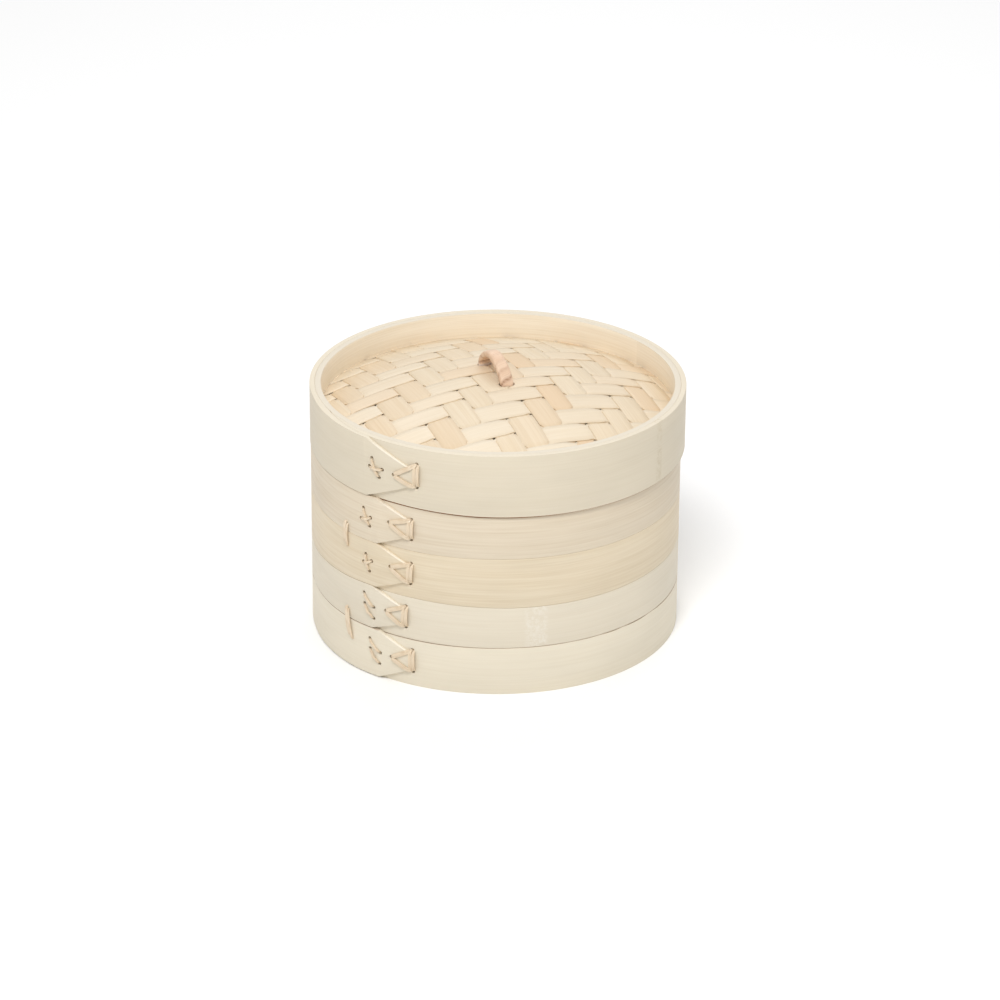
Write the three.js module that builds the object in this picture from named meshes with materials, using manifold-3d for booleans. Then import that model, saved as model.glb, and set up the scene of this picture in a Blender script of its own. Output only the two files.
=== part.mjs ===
// Two-tier bamboo steamer with a woven lid.
// Millimetres, +Z up. The origin is the middle of the lower tier's underside. Angles go round the
// Z axis in degrees from the front (-Y), and grow towards the right (+X).

import * as THREE from 'three';
import { mergeVertices } from 'three/addons/utils/BufferGeometryUtils.js';
import Module from 'manifold-3d';

const wasm = await Module();
wasm.setup();

// Clearances
const fitGap = 0.3; // between pieces that touch or slide
const holeGap = 0.25; // round a strand or a peg in its hole

// Tier: two outer bands round one inner hoop that stands above them
const tierOuterRadius = 100;
const bandThickness = 2.8;
const lowerBandHeight = 26.8;
const upperBandHeight = 24.2;
const innerHoopThickness = 3;
const spigotHeight = 5.8;
const spigotRoom = 1;

// Tier floor: slats held between the inner hoop and a floor ring, pegged to two battens
const floorRingHeight = 4.2;
const slatWidth = 13;
const slatThickness = 3.3;
const slatGap = 7.4;
const battenOffset = 30;
const battenWidth = 9;
const battenHeight = 4.2;
const pegRadius = 1.4;
const pegRoot = 1;

// Lid: an outer hoop, an inner hoop above the mats and a seat ring below them
const lidPlay = 1.5; // round the spigot, inside the lid's outer hoop
const lidBandThickness = 2.8;
const lidHeight = 34.9;
const lidShift = 0.9; // the lid sits this far to the right in its play
const lidInnerHoopThickness = 3;
const matRecess = 14;
const matRise = 17;
const matThickness = 2;
const liningThickness = 1.6;

// Handle: a closed loop of wrapped cane through both mats that rocks on its feet
const handleSpan = 31.4;
const handleHeight = 11.5;
const handleThickness = 4.6;
const handleWidth = 7.6;
const handleOffsetX = -1.1; // its middle, from the lid's middle
const handleOffsetY = 2.7;
const handleTurn = -68; // from +X, seen from above
const handleRock = 10; // degrees to either side
const handleWraps = 14; // turns of the wrapping round the loop
const wrapGroove = 0.35; // depth between two turns
const handleSquareness = 3; // 2 would be an ellipse

// Lap of a band: the end of the strip lies over its start and narrows to a tongue
const featherThickness = 0.5;
const tongueThickness = 2;
const lapLength = 37;
const scarfLength = 30;
const riseLength = 24;
const tongueLength = 20;
const tongueTipHeight = 9;
const lidTongueLength = 30;
const lidTongueTipHeight = 8;
const tongueTipRise = 0.8; // the tip sits this far above the band's middle
const innerLapLength = 40; // flush scarf of the hoops that don't show
const innerLapAngle = 150;

// Angle of each tongue's tip, and how far behind it the back stitches start
const laps = {
  lower_tier_lower_band: { tip: -25.5, stitch: 26.8 },
  lower_tier_upper_band: { tip: -28, stitch: 26.6 },
  upper_tier_lower_band: { tip: -26.2, stitch: 30 },
  upper_tier_upper_band: { tip: -26, stitch: 31 },
  lid_outer_hoop: { tip: -24.5, stitch: 28.8 },
};

// Cane strands of the lacings and ties
const strandWidth = 2.2;
const strandThickness = 0.9;
const strandLegRadius = 0.65;
const strandStep = 0.12; // strands of one lacing that cross lie this far over each other
const lacingApex = 13; // from the tip back to the triangle's point
const lacingCorner = 1.45; // from the tip's corners to the triangle's other holes
const stitchRun = 6.6;
const stitchDrop = 6.6;
const stitchRaise = 7.4;
const stitchSpacing = 6.2;
const tieAngles = { lower_tier: [-48, 100, 205], upper_tier: [-50, 100, 205] };
const tieEdge = 3.2; // from the inner hoop's lower edge up to the tie's lower hole
const tieReach = 6.4; // from the seam up to the tie's upper hole

// Facets
const hoopStep = 6; // degrees
const strandSteps = 2;
const legSides = 6;
const matSegments = 36;
const matRings = 5;
const wrapSteps = 6;
const handleSides = 8;

// Colours
const bandColour = 0xe6dcc3;
const tierTwoColour = 0xe4d6b8;
const hoopColour = 0xeadbba;
const slatColour = 0xe3cfa4;
const matColour = 0xecdfbf;
const liningColour = 0xdfcb9f;
const caneColour = 0xe2c6a2;

// Radii and heights that follow from the sizes above
const bandInnerRadius = tierOuterRadius - bandThickness;
const hoopOuterRadius = bandInnerRadius - fitGap;
const hoopInnerRadius = hoopOuterRadius - innerHoopThickness;
const seamHeight = lowerBandHeight + fitGap;
const bandTop = seamHeight + upperBandHeight;
const tierPitch = bandTop + fitGap;
const floorRingBottom = spigotHeight + spigotRoom;
const floorRingTop = floorRingBottom + floorRingHeight;
const slatBottom = floorRingTop + fitGap;
const slatTop = slatBottom + slatThickness;
const hoopBottom = slatTop + fitGap;
const hoopTop = bandTop + spigotHeight;
const lidBandInnerRadius = hoopOuterRadius + lidPlay;
const lidOuterRadius = lidBandInnerRadius + lidBandThickness;
const rimOuterRadius = lidBandInnerRadius - fitGap;
const rimInnerRadius = rimOuterRadius - lidInnerHoopThickness;
const matEdgeTop = lidHeight - matRecess;
const liningEdgeTop = matEdgeTop - matThickness - fitGap;
const seatRingTop = liningEdgeTop - liningThickness - fitGap;
const seatRingBottom = spigotHeight + spigotRoom;

const degreesAlong = (length, radius) => THREE.MathUtils.radToDeg(length / radius);

// Point of a wall at an angle from the front
function wallPoint(angle, radius, height) {
  const turn = THREE.MathUtils.degToRad(angle);
  return new THREE.Vector3(radius * Math.sin(turn), -radius * Math.cos(turn), height);
}

// Solid between sections of equal point counts, with end caps or closed on itself.
// A section runs anticlockwise as seen by someone who looks along the loft.
function loft(sections, closed = false) {
  const sides = sections[0].length;
  const count = sections.length;
  const spans = closed ? count : count - 1;
  const index = [];
  for (let i = 0; i < spans; i += 1) {
    const here = i * sides;
    const next = ((i + 1) % count) * sides;
    for (let k = 0; k < sides; k += 1) {
      const side = (k + 1) % sides;
      index.push(here + k, next + k, next + side);
      index.push(here + k, next + side, here + side);
    }
  }
  if (!closed) {
    const last = (count - 1) * sides;
    for (let k = 1; k < sides - 1; k += 1) {
      index.push(0, k, k + 1);
      index.push(last, last + k + 1, last + k);
    }
  }
  const geometry = new THREE.BufferGeometry().setFromPoints(sections.flat());
  geometry.setIndex(index);
  geometry.computeVertexNormals();
  return geometry;
}

function toSolid(geometry) {
  const bare = geometry.clone();
  bare.deleteAttribute('normal');
  bare.deleteAttribute('uv');
  const welded = mergeVertices(bare);
  const mesh = new wasm.Mesh({
    numProp: 3,
    vertProperties: new Float32Array(welded.getAttribute('position').array),
    triVerts: new Uint32Array(welded.getIndex().array),
  });
  return new wasm.Manifold(mesh);
}

function toGeometry(solid) {
  const mesh = solid.getMesh();
  const geometry = new THREE.BufferGeometry();
  geometry.setAttribute('position', new THREE.BufferAttribute(mesh.vertProperties, 3));
  geometry.setIndex(new THREE.BufferAttribute(mesh.triVerts, 1));
  geometry.computeVertexNormals();
  return geometry;
}

function cut(geometry, tools) {
  const start = toSolid(geometry);
  return toGeometry(tools.reduce((solid, tool) => solid.subtract(toSolid(tool)), start));
}

function join(pieces) {
  const [first, ...rest] = pieces.map(toSolid);
  return toGeometry(rest.reduce((solid, piece) => solid.add(piece), first));
}

// Value at an angle of a lane, which is a list of [angle, value] pairs joined by straight lines
function laneValue(lane, angle) {
  const next = lane.findIndex(([at]) => at >= angle);
  if (next === -1) {
    return lane[lane.length - 1][1];
  }
  if (next === 0) {
    return lane[0][1];
  }
  const [fromAngle, fromValue] = lane[next - 1];
  const [toAngle, toValue] = lane[next];
  return THREE.MathUtils.mapLinear(angle, fromAngle, toAngle, fromValue, toValue);
}

// Strip bent round the axis, with a lane each for its inner and outer face and its two edges
function bentStrip(lanes) {
  const marks = Object.values(lanes).flatMap((lane) => lane.map(([angle]) => angle));
  const start = Math.min(...marks);
  const end = Math.max(...marks);
  const angles = [...new Set(marks)];
  for (let angle = Math.ceil(start / hoopStep) * hoopStep; angle < end; angle += hoopStep) {
    if (marks.every((mark) => Math.abs(mark - angle) > hoopStep / 4)) {
      angles.push(angle);
    }
  }
  angles.sort((a, b) => a - b);
  const sections = angles.map((angle) => {
    const inner = laneValue(lanes.inner, angle);
    const outer = laneValue(lanes.outer, angle);
    const low = laneValue(lanes.low, angle);
    const high = laneValue(lanes.high, angle);
    return [
      wallPoint(angle, inner, low),
      wallPoint(angle, outer, low),
      wallPoint(angle, outer, high),
      wallPoint(angle, inner, high),
    ];
  });
  return loft(sections);
}

// Outer band or lid hoop: the strip's feathered start lies under its end, which stands proud
function bandLanes(band) {
  const { outerRadius, thickness, low, high, tip } = band;
  const inside = outerRadius - thickness;
  const proudInside = outerRadius + fitGap;
  const back = (length) => tip - degreesAlong(length, outerRadius);
  const start = back(lapLength + scarfLength);
  const scarfEnd = back(lapLength);
  const riseStart = back(lapLength + scarfLength + riseLength) + 360;
  const overFeather = inside + featherThickness + fitGap;
  const end = tip + 360;
  const tongueStart = back(band.tongueLength) + 360;
  const tipMiddle = (low + high) / 2 + tongueTipRise;
  return {
    inner: [
      [start, inside],
      [riseStart, inside],
      [start + 360 - degreesAlong(fitGap, outerRadius), overFeather],
      [start + 360, overFeather],
      [scarfEnd + 360, proudInside],
      [end, proudInside],
    ],
    outer: [
      [start, inside + featherThickness],
      [scarfEnd, outerRadius],
      [riseStart, outerRadius],
      [scarfEnd + 360, proudInside + tongueThickness],
      [end, proudInside + tongueThickness],
    ],
    low: [
      [start, low],
      [tongueStart, low],
      [end, tipMiddle - band.tipHeight / 2],
    ],
    high: [
      [start, high],
      [tongueStart, high],
      [end, tipMiddle + band.tipHeight / 2],
    ],
  };
}

// Outside radius of a finished band, whose lap is the last turn of its lane
function bandSurface(band, angle) {
  return laneValue(bandLanes(band).outer, angle < band.tip ? angle + 360 : angle);
}

// Hoop with a flush scarf: the two ends share the thickness
function hoopGeometry(outerRadius, thickness, low, high) {
  const inside = outerRadius - thickness;
  const end = innerLapAngle;
  const start = end - degreesAlong(innerLapLength, outerRadius);
  const play = degreesAlong(fitGap, outerRadius);
  const thin = inside + featherThickness;
  const thick = outerRadius - featherThickness - fitGap;
  return bentStrip({
    inner: [
      [start, inside],
      [start + 360 - 2 * play, inside],
      [start + 360 - play, thin + fitGap],
      [start + 360, thin + fitGap],
      [end + 360, thick + fitGap],
    ],
    outer: [
      [start, thin],
      [end, thick],
      [end + play, thick],
      [end + 2 * play, outerRadius],
      [end + 360, outerRadius],
    ],
    low: [
      [start, low],
      [end + 360, low],
    ],
    high: [
      [start, high],
      [end + 360, high],
    ],
  });
}

// Prism through a wall, along its radius: a hole's cutter, or the leg of a strand in the hole
function radialPrism([angle, height], fromRadius, toRadius, radius) {
  const prism = new THREE.CylinderGeometry(radius, radius, toRadius - fromRadius, legSides);
  const outward = wallPoint(angle, 1, 0);
  const up = new THREE.Vector3(0, 1, 0);
  prism.applyQuaternion(new THREE.Quaternion().setFromUnitVectors(up, outward));
  const middle = wallPoint(angle, (fromRadius + toRadius) / 2, height);
  prism.translate(middle.x, middle.y, middle.z);
  return prism;
}

// Flat strand on a wall between two [angle, height] points, with `underside` its radius at an angle
function strandGeometry(from, to, wallRadius, underside) {
  const ends = [from, to].map(([angle, height]) => {
    return new THREE.Vector2(THREE.MathUtils.degToRad(angle) * wallRadius, height);
  });
  const along = ends[1].clone().sub(ends[0]).normalize();
  const side = new THREE.Vector2(along.y, -along.x).multiplyScalar(strandWidth / 2);
  ends[0].addScaledVector(along, -strandWidth / 2);
  ends[1].addScaledVector(along, strandWidth / 2);
  const corner = (middle, sign, lift) => {
    const spot = middle.clone().addScaledVector(side, sign);
    const angle = degreesAlong(spot.x, wallRadius);
    return wallPoint(angle, underside(angle) + lift, spot.y);
  };
  const sections = [];
  for (let i = 0; i <= strandSteps; i += 1) {
    const middle = ends[0].clone().lerp(ends[1], i / strandSteps);
    sections.push([
      corner(middle, -1, 0),
      corner(middle, 1, 0),
      corner(middle, 1, strandThickness),
      corner(middle, -1, strandThickness),
    ]);
  }
  return loft(sections);
}

// Holes of a band's lacing, as [angle, height] points
function lacingHoles(band) {
  const middle = (band.low + band.high) / 2;
  const tipMiddle = middle + tongueTipRise;
  const back = (length) => band.tip - degreesAlong(length, band.outerRadius);
  const reach = band.tipHeight / 2 + lacingCorner;
  const stitchEnds = (raise) => [
    [back(band.stitch), middle + raise],
    [back(band.stitch - stitchRun), middle + raise - stitchDrop],
  ];
  return {
    apex: [back(lacingApex), tipMiddle],
    top: [band.tip, tipMiddle + reach],
    bottom: [band.tip, tipMiddle - reach],
    upperStitch: stitchEnds(stitchRaise),
    lowerStitch: stitchEnds(stitchRaise - stitchSpacing),
  };
}

function bandGeometry(band, extraHoles) {
  const { apex, top, bottom, upperStitch, lowerStitch } = lacingHoles(band);
  const holes = [apex, top, bottom, ...upperStitch, ...lowerStitch, ...extraHoles];
  const fromRadius = band.outerRadius - band.thickness - fitGap;
  const toRadius = band.outerRadius + 2 * fitGap + tongueThickness;
  const cutters = holes.map((hole) => {
    return radialPrism(hole, fromRadius, toRadius, strandLegRadius + holeGap);
  });
  return cut(bentStrip(bandLanes(band)), cutters);
}

// Triangle of strands that ties the tongue's tip down
function pointLacing(band) {
  const { apex, top, bottom } = lacingHoles(band);
  const base = band.outerRadius + 2 * fitGap + tongueThickness;
  const strand = (from, to, layer) => {
    return strandGeometry(from, to, band.outerRadius, () => base + layer * strandStep);
  };
  const legEnd = band.outerRadius - band.thickness + fitGap;
  const legs = [apex, top, bottom].map((hole) => {
    return radialPrism(hole, legEnd, base + strandThickness / 2, strandLegRadius);
  });
  return join([strand(apex, top, 0), strand(bottom, apex, 1), strand(top, bottom, 2), ...legs]);
}

// One back stitch: a strand between two holes through both layers of the lap
function backStitch(band, [from, to]) {
  const underside = (angle) => bandSurface(band, angle) + fitGap;
  const legEnd = band.outerRadius - band.thickness + fitGap;
  const legs = [from, to].map((hole) => {
    const legTop = underside(hole[0]) + strandThickness / 2;
    return radialPrism(hole, legEnd, legTop, strandLegRadius);
  });
  return join([strandGeometry(from, to, band.outerRadius, underside), ...legs]);
}

// Closed tie through the bands and the inner hoop, across the seam between the bands
function tieGeometry(angle, bands) {
  const outside = (at) => Math.max(...bands.map((band) => bandSurface(band, at))) + fitGap;
  const insideRadius = hoopInnerRadius - fitGap - strandThickness;
  const [lower, upper] = tieHoles(angle);
  const legs = [lower, upper].map((hole) => {
    const legTop = outside(angle) + strandThickness / 2;
    return radialPrism(hole, insideRadius + strandThickness / 2, legTop, strandLegRadius);
  });
  return join([
    strandGeometry(lower, upper, tierOuterRadius, outside),
    strandGeometry(lower, upper, tierOuterRadius, () => insideRadius),
    ...legs,
  ]);
}

function tieHoles(angle) {
  return [
    [angle, hoopBottom + tieEdge],
    [angle, seamHeight + tieReach],
  ];
}

function innerHoopGeometry(holes) {
  const hoop = hoopGeometry(hoopOuterRadius, innerHoopThickness, hoopBottom, hoopTop);
  const cutters = holes.map((hole) => {
    const fromRadius = hoopInnerRadius - fitGap;
    const toRadius = hoopOuterRadius + fitGap;
    return radialPrism(hole, fromRadius, toRadius, strandLegRadius + holeGap);
  });
  return cut(hoop, cutters);
}

// Outline of a bar along X at a distance from the axis, with its ends on a circle
function barShape(offset, width, radius) {
  const nearAngle = Math.asin((offset - width / 2) / radius);
  const farAngle = Math.asin((offset + width / 2) / radius);
  const shape = new THREE.Shape();
  shape.absarc(0, 0, radius, nearAngle, farAngle);
  shape.absarc(0, 0, radius, Math.PI - farAngle, Math.PI - nearAngle);
  shape.closePath();
  return shape;
}

function barGeometry(shape, bottom, height) {
  const geometry = new THREE.ExtrudeGeometry(shape, {
    depth: height,
    bevelEnabled: false,
    curveSegments: 1,
  });
  geometry.translate(0, 0, bottom);
  return geometry;
}

// Places of the slats across the floor: as many as fit with both battens under every slat
function slatOffsets() {
  const battenEdge = battenOffset + battenWidth / 2 + fitGap;
  const halfFloor = Math.sqrt(hoopOuterRadius ** 2 - battenEdge ** 2);
  const pitch = slatWidth + slatGap;
  const count = Math.floor((2 * halfFloor + slatGap) / pitch);
  return Array.from({ length: count }, (_, i) => (i - (count - 1) / 2) * pitch);
}

function hexagon(x, y, radius) {
  return Array.from({ length: legSides }, (_, i) => {
    const turn = (i / legSides) * 2 * Math.PI;
    return new THREE.Vector2(x + radius * Math.sin(turn), y + radius * Math.cos(turn));
  });
}

function slatGeometry(offset) {
  const shape = barShape(offset, slatWidth, hoopOuterRadius);
  shape.holes = [-battenOffset, battenOffset].map((x) => {
    return new THREE.Path(hexagon(x, offset, pegRadius + holeGap));
  });
  return barGeometry(shape, slatBottom, slatThickness);
}

// Batten along Y with one peg for every slat
function battenGeometry(offset) {
  const top = slatBottom - fitGap;
  const shape = barShape(-offset, battenWidth, hoopInnerRadius - fitGap);
  const bar = barGeometry(shape, top - battenHeight, battenHeight);
  bar.rotateZ(Math.PI / 2);
  const pegs = slatOffsets().map((y) => {
    const peg = new THREE.Shape(hexagon(offset, y, pegRadius));
    return barGeometry(peg, top - pegRoot, slatTop - top + pegRoot);
  });
  return join([bar, ...pegs]);
}

// Height of a mat's upper face above its flat edge
function domeHeight(radius) {
  const share = radius / (rimInnerRadius - fitGap);
  return matRise * (1 - share * share);
}

// The handle rocks about a line halfway through the mats at its outer foot
const stackHalf = (matThickness + fitGap + liningThickness) / 2;
const handleFootRadii = [-1, 1].map((end) => {
  const foot = new THREE.Vector2((end * handleSpan) / 2, 0);
  foot.rotateAround(new THREE.Vector2(), THREE.MathUtils.degToRad(handleTurn));
  return foot.add(new THREE.Vector2(handleOffsetX, handleOffsetY)).length();
});
const handlePivotHeight = matEdgeTop + domeHeight(Math.max(...handleFootRadii)) - stackHalf;

// Turns and moves a piece from the handle's own axes to its place in the lid
function placeOnHandle(geometry) {
  geometry.rotateZ(THREE.MathUtils.degToRad(handleTurn));
  geometry.translate(handleOffsetX, handleOffsetY, handlePivotHeight);
  return geometry;
}

// Domed mat with a flat edge, and two slots that let the handle's legs rock
function matGeometry(edgeTop, thickness) {
  const domeRadius = rimInnerRadius - fitGap;
  const radii = Array.from({ length: matRings + 1 }, (_, i) => (domeRadius * i) / matRings);
  const upper = radii.map((radius) => new THREE.Vector2(radius, edgeTop + domeHeight(radius)));
  const lower = radii.map((radius) => {
    return new THREE.Vector2(radius, edgeTop - thickness + domeHeight(radius));
  });
  const profile = [
    ...lower,
    new THREE.Vector2(rimOuterRadius, edgeTop - thickness),
    new THREE.Vector2(rimOuterRadius, edgeTop),
    ...upper.reverse(),
  ];
  const rock = THREE.MathUtils.degToRad(handleRock);
  const across = handleWidth / Math.cos(rock) + 2 * stackHalf * Math.tan(rock) + 2 * fitGap;
  const depth = 4 * (stackHalf + matThickness);
  const slots = [-1, 1].map((end) => {
    const slot = new THREE.BoxGeometry(handleThickness + 2 * fitGap, across, depth);
    slot.translate((end * handleSpan) / 2, 0, 0);
    return placeOnHandle(slot);
  });
  const dome = new THREE.LatheGeometry(profile, matSegments);
  dome.rotateX(Math.PI / 2);
  return cut(dome, slots);
}

// Closed loop: an elliptical arch above the mats and a straight run below them, with a flat, rounded
// section whose wrapping leaves one groove that winds along the loop
function handleGeometry() {
  const half = handleSpan / 2;
  const rock = THREE.MathUtils.degToRad(handleRock);
  const rockedCorner = handleThickness / 2 + (handleWidth / 2) * Math.tan(rock);
  const bottom = -(stackHalf + fitGap) / Math.cos(rock) - rockedCorner;
  const top = stackHalf + handleHeight - handleThickness / 2;
  const bottomBend = Math.min(-bottom - stackHalf, half);
  const quarter = Math.PI / 2;
  const outline = new THREE.Shape();
  outline.absellipse(0, stackHalf, half, top - stackHalf, 0, 2 * quarter);
  outline.absarc(bottomBend - half, bottom + bottomBend, bottomBend, 2 * quarter, 3 * quarter);
  outline.absarc(half - bottomBend, bottom + bottomBend, bottomBend, 3 * quarter, 4 * quarter);
  outline.closePath();
  const steps = handleWraps * wrapSteps;
  const points = outline.getSpacedPoints(steps).slice(0, steps);
  const rounded = (share) => Math.sign(share) * Math.abs(share) ** (2 / handleSquareness);
  const sections = points.map((point, i) => {
    const before = points[(i + steps - 1) % steps];
    const after = points[(i + 1) % steps];
    const tangent = after.clone().sub(before).normalize();
    return Array.from({ length: handleSides }, (_, k) => {
      const turn = (2 * Math.PI * k) / handleSides;
      const sink = (wrapGroove / 2) * (1 + Math.cos((2 * Math.PI * i) / wrapSteps - turn));
      const inPlane = (handleThickness / 2 - sink) * rounded(Math.cos(turn));
      const across = (handleWidth / 2 - sink) * rounded(Math.sin(turn));
      return new THREE.Vector3(
        point.x - inPlane * tangent.y,
        across,
        point.y + inPlane * tangent.x,
      );
    });
  });
  return placeOnHandle(loft(sections, true));
}

function piece(name, geometry, colour, roughness) {
  const material = new THREE.MeshStandardMaterial({ color: colour, roughness, metalness: 0 });
  const mesh = new THREE.Mesh(geometry, material);
  mesh.name = name;
  return mesh;
}

const bandPiece = (name, geometry, colour) => piece(name, geometry, colour, 0.55);
const slatPiece = (name, geometry) => piece(name, geometry, slatColour, 0.65);
const canePiece = (name, geometry) => piece(name, geometry, caneColour, 0.6);

// The lacing of one band: the triangle over the tip and the two stitches behind it
function lacingPieces(name, band) {
  const { upperStitch, lowerStitch } = lacingHoles(band);
  return [
    canePiece(`${name}_point_lacing`, pointLacing(band)),
    canePiece(`${name}_upper_stitch`, backStitch(band, upperStitch)),
    canePiece(`${name}_lower_stitch`, backStitch(band, lowerStitch)),
  ];
}

function tierBand(name, low, high) {
  return {
    ...laps[name],
    outerRadius: tierOuterRadius,
    thickness: bandThickness,
    low,
    high,
    tongueLength,
    tipHeight: tongueTipHeight,
  };
}

function tierGroup(tier, colour) {
  const group = new THREE.Group();
  const lowerName = `${tier}_lower_band`;
  const upperName = `${tier}_upper_band`;
  const lowerBand = tierBand(lowerName, 0, lowerBandHeight);
  const upperBand = tierBand(upperName, seamHeight, bandTop);
  const ties = tieAngles[tier].flatMap(tieHoles);
  const floorRing = hoopGeometry(hoopOuterRadius, innerHoopThickness, floorRingBottom, floorRingTop);
  group.add(bandPiece(lowerName, bandGeometry(lowerBand, ties), colour));
  group.add(bandPiece(upperName, bandGeometry(upperBand, ties), colour));
  group.add(bandPiece(`${tier}_inner_hoop`, innerHoopGeometry(ties), hoopColour));
  group.add(bandPiece(`${tier}_floor_ring`, floorRing, hoopColour));
  group.add(...lacingPieces(lowerName, lowerBand));
  group.add(...lacingPieces(upperName, upperBand));
  tieAngles[tier].forEach((angle, i) => {
    group.add(canePiece(`${tier}_tie_${i + 1}`, tieGeometry(angle, [lowerBand, upperBand])));
  });
  slatOffsets().forEach((offset, i) => {
    group.add(slatPiece(`${tier}_slat_${i + 1}`, slatGeometry(offset)));
  });
  group.add(slatPiece(`${tier}_left_batten`, battenGeometry(-battenOffset)));
  group.add(slatPiece(`${tier}_right_batten`, battenGeometry(battenOffset)));
  return group;
}

function lidGroup() {
  const group = new THREE.Group();
  const band = {
    ...laps.lid_outer_hoop,
    outerRadius: lidOuterRadius,
    thickness: lidBandThickness,
    low: 0,
    high: lidHeight,
    tongueLength: lidTongueLength,
    tipHeight: lidTongueTipHeight,
  };
  const rimBottom = matEdgeTop + fitGap;
  const rim = hoopGeometry(rimOuterRadius, lidInnerHoopThickness, rimBottom, lidHeight);
  const seat = hoopGeometry(rimOuterRadius, lidInnerHoopThickness, seatRingBottom, seatRingTop);
  const mat = matGeometry(matEdgeTop, matThickness);
  const lining = matGeometry(liningEdgeTop, liningThickness);
  group.add(bandPiece('lid_outer_hoop', bandGeometry(band, []), bandColour));
  group.add(bandPiece('lid_inner_hoop', rim, hoopColour));
  group.add(bandPiece('lid_seat_ring', seat, hoopColour));
  group.add(piece('lid_woven_mat', mat, matColour, 0.6));
  group.add(piece('lid_lining_mat', lining, liningColour, 0.7));
  group.add(canePiece('lid_handle', handleGeometry()));
  group.add(...lacingPieces('lid_outer_hoop', band));
  return group;
}

const steamer = new THREE.Group();
const lowerTier = tierGroup('lower_tier', bandColour);
const upperTier = tierGroup('upper_tier', tierTwoColour);
upperTier.position.z = tierPitch;
const lid = lidGroup();
lid.position.set(lidShift, 0, 2 * tierPitch);
steamer.add(lowerTier, upperTier, lid);

export default steamer;
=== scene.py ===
# %% [markdown]
# # Bamboo steamer
# Two tiers of bent bamboo hoops and a lid with a woven top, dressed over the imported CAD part.
# The CAD nodes stay where they are. Each new piece is modelled here, rides on a body of the part
# and stands for a CAD node. Lengths are in metres, and angles round the wall are in degrees from
# the front, growing to the right.

# %% Load the frame
import math
import random
from collections import namedtuple

import bmesh
import bpy
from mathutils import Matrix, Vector


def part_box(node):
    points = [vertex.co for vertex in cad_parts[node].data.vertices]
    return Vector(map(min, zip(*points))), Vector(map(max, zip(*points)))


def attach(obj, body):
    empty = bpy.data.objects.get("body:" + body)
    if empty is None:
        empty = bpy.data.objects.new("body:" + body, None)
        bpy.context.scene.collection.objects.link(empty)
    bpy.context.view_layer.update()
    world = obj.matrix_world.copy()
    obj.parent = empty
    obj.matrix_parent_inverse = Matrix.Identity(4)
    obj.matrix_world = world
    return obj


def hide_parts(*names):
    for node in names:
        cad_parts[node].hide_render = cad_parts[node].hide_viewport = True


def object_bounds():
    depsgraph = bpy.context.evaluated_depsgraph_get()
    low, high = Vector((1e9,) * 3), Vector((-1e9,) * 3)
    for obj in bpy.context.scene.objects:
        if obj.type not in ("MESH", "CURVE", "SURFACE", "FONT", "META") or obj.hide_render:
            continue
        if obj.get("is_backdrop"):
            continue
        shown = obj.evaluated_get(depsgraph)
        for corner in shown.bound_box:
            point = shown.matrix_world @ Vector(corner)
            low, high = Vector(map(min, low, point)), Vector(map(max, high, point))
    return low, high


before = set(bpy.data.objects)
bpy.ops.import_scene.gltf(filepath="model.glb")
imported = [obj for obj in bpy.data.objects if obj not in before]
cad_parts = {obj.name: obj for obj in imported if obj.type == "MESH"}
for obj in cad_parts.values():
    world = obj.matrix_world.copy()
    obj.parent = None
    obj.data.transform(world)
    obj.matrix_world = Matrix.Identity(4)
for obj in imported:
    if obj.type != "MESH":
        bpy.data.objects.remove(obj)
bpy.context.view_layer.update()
scene = bpy.context.scene
MM = 0.001
TIERS = ("lower_tier", "upper_tier")

# %% [markdown]
# ## Working by hand in code
# Every tool acts on what is selected, and loading leaves the CAD nodes selected. So a step starts
# by picking objects, or by choosing the edges or faces that pass a test of their place.

# %% Picking and choosing
def pick(*objects):
    bpy.ops.object.select_all(action="DESELECT")
    for item in objects:
        item.select_set(True)
    bpy.context.view_layer.objects.active = objects[0]


def choose(obj, kind, test):
    bpy.ops.mesh.select_mode(type=kind)
    bpy.ops.mesh.select_all(action="DESELECT")
    mesh = bmesh.from_edit_mesh(obj.data)
    for part in {"EDGE": mesh.edges, "FACE": mesh.faces}[kind]:
        if test(part):
            part.select_set(True)
    bmesh.update_edit_mesh(obj.data)


print(len(bpy.context.selected_objects), "objects are selected after loading")

# %% [markdown]
# A modifier is applied as soon as it is set, so that the mesh itself holds the result and the
# next tool can work on it. Left live, it would act again after every later step.

# %% Applying modifiers
def modify(obj, kind, **settings):
    pick(obj)
    modifier = obj.modifiers.new(kind.lower(), kind)
    for key, value in settings.items():
        setattr(modifier, key, value)
    bpy.ops.object.modifier_apply(modifier=modifier.name)


def discard(obj):
    pick(obj)
    bpy.ops.object.delete()


def cut_away(obj, tool):
    modify(obj, "BOOLEAN", operation="DIFFERENCE", solver="EXACT", object=tool)
    discard(tool)


def round_edges(obj, width, segments=3, degrees=40):
    modify(obj, "BEVEL", width=width, segments=segments, limit_method="ANGLE",
           angle_limit=math.radians(degrees))


# %% [markdown]
# Parts are joined, shaded smooth where faces meet at a small angle, and put in place. A finished
# piece has its place in its mesh and its object at the origin, as the CAD nodes have.

# %% Joining and placing
def smooth(obj, degrees):
    pick(obj)
    bpy.ops.object.shade_smooth_by_angle(angle=math.radians(degrees))


def joined(name, objects):
    pick(*objects)
    if len(objects) > 1:
        bpy.ops.object.join()
    objects[0].name = name
    return objects[0]


def settle(obj, place, turn):
    obj.location, obj.rotation_euler = place, turn
    pick(obj)
    bpy.ops.object.transform_apply(location=True, rotation=True, scale=True)
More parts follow.
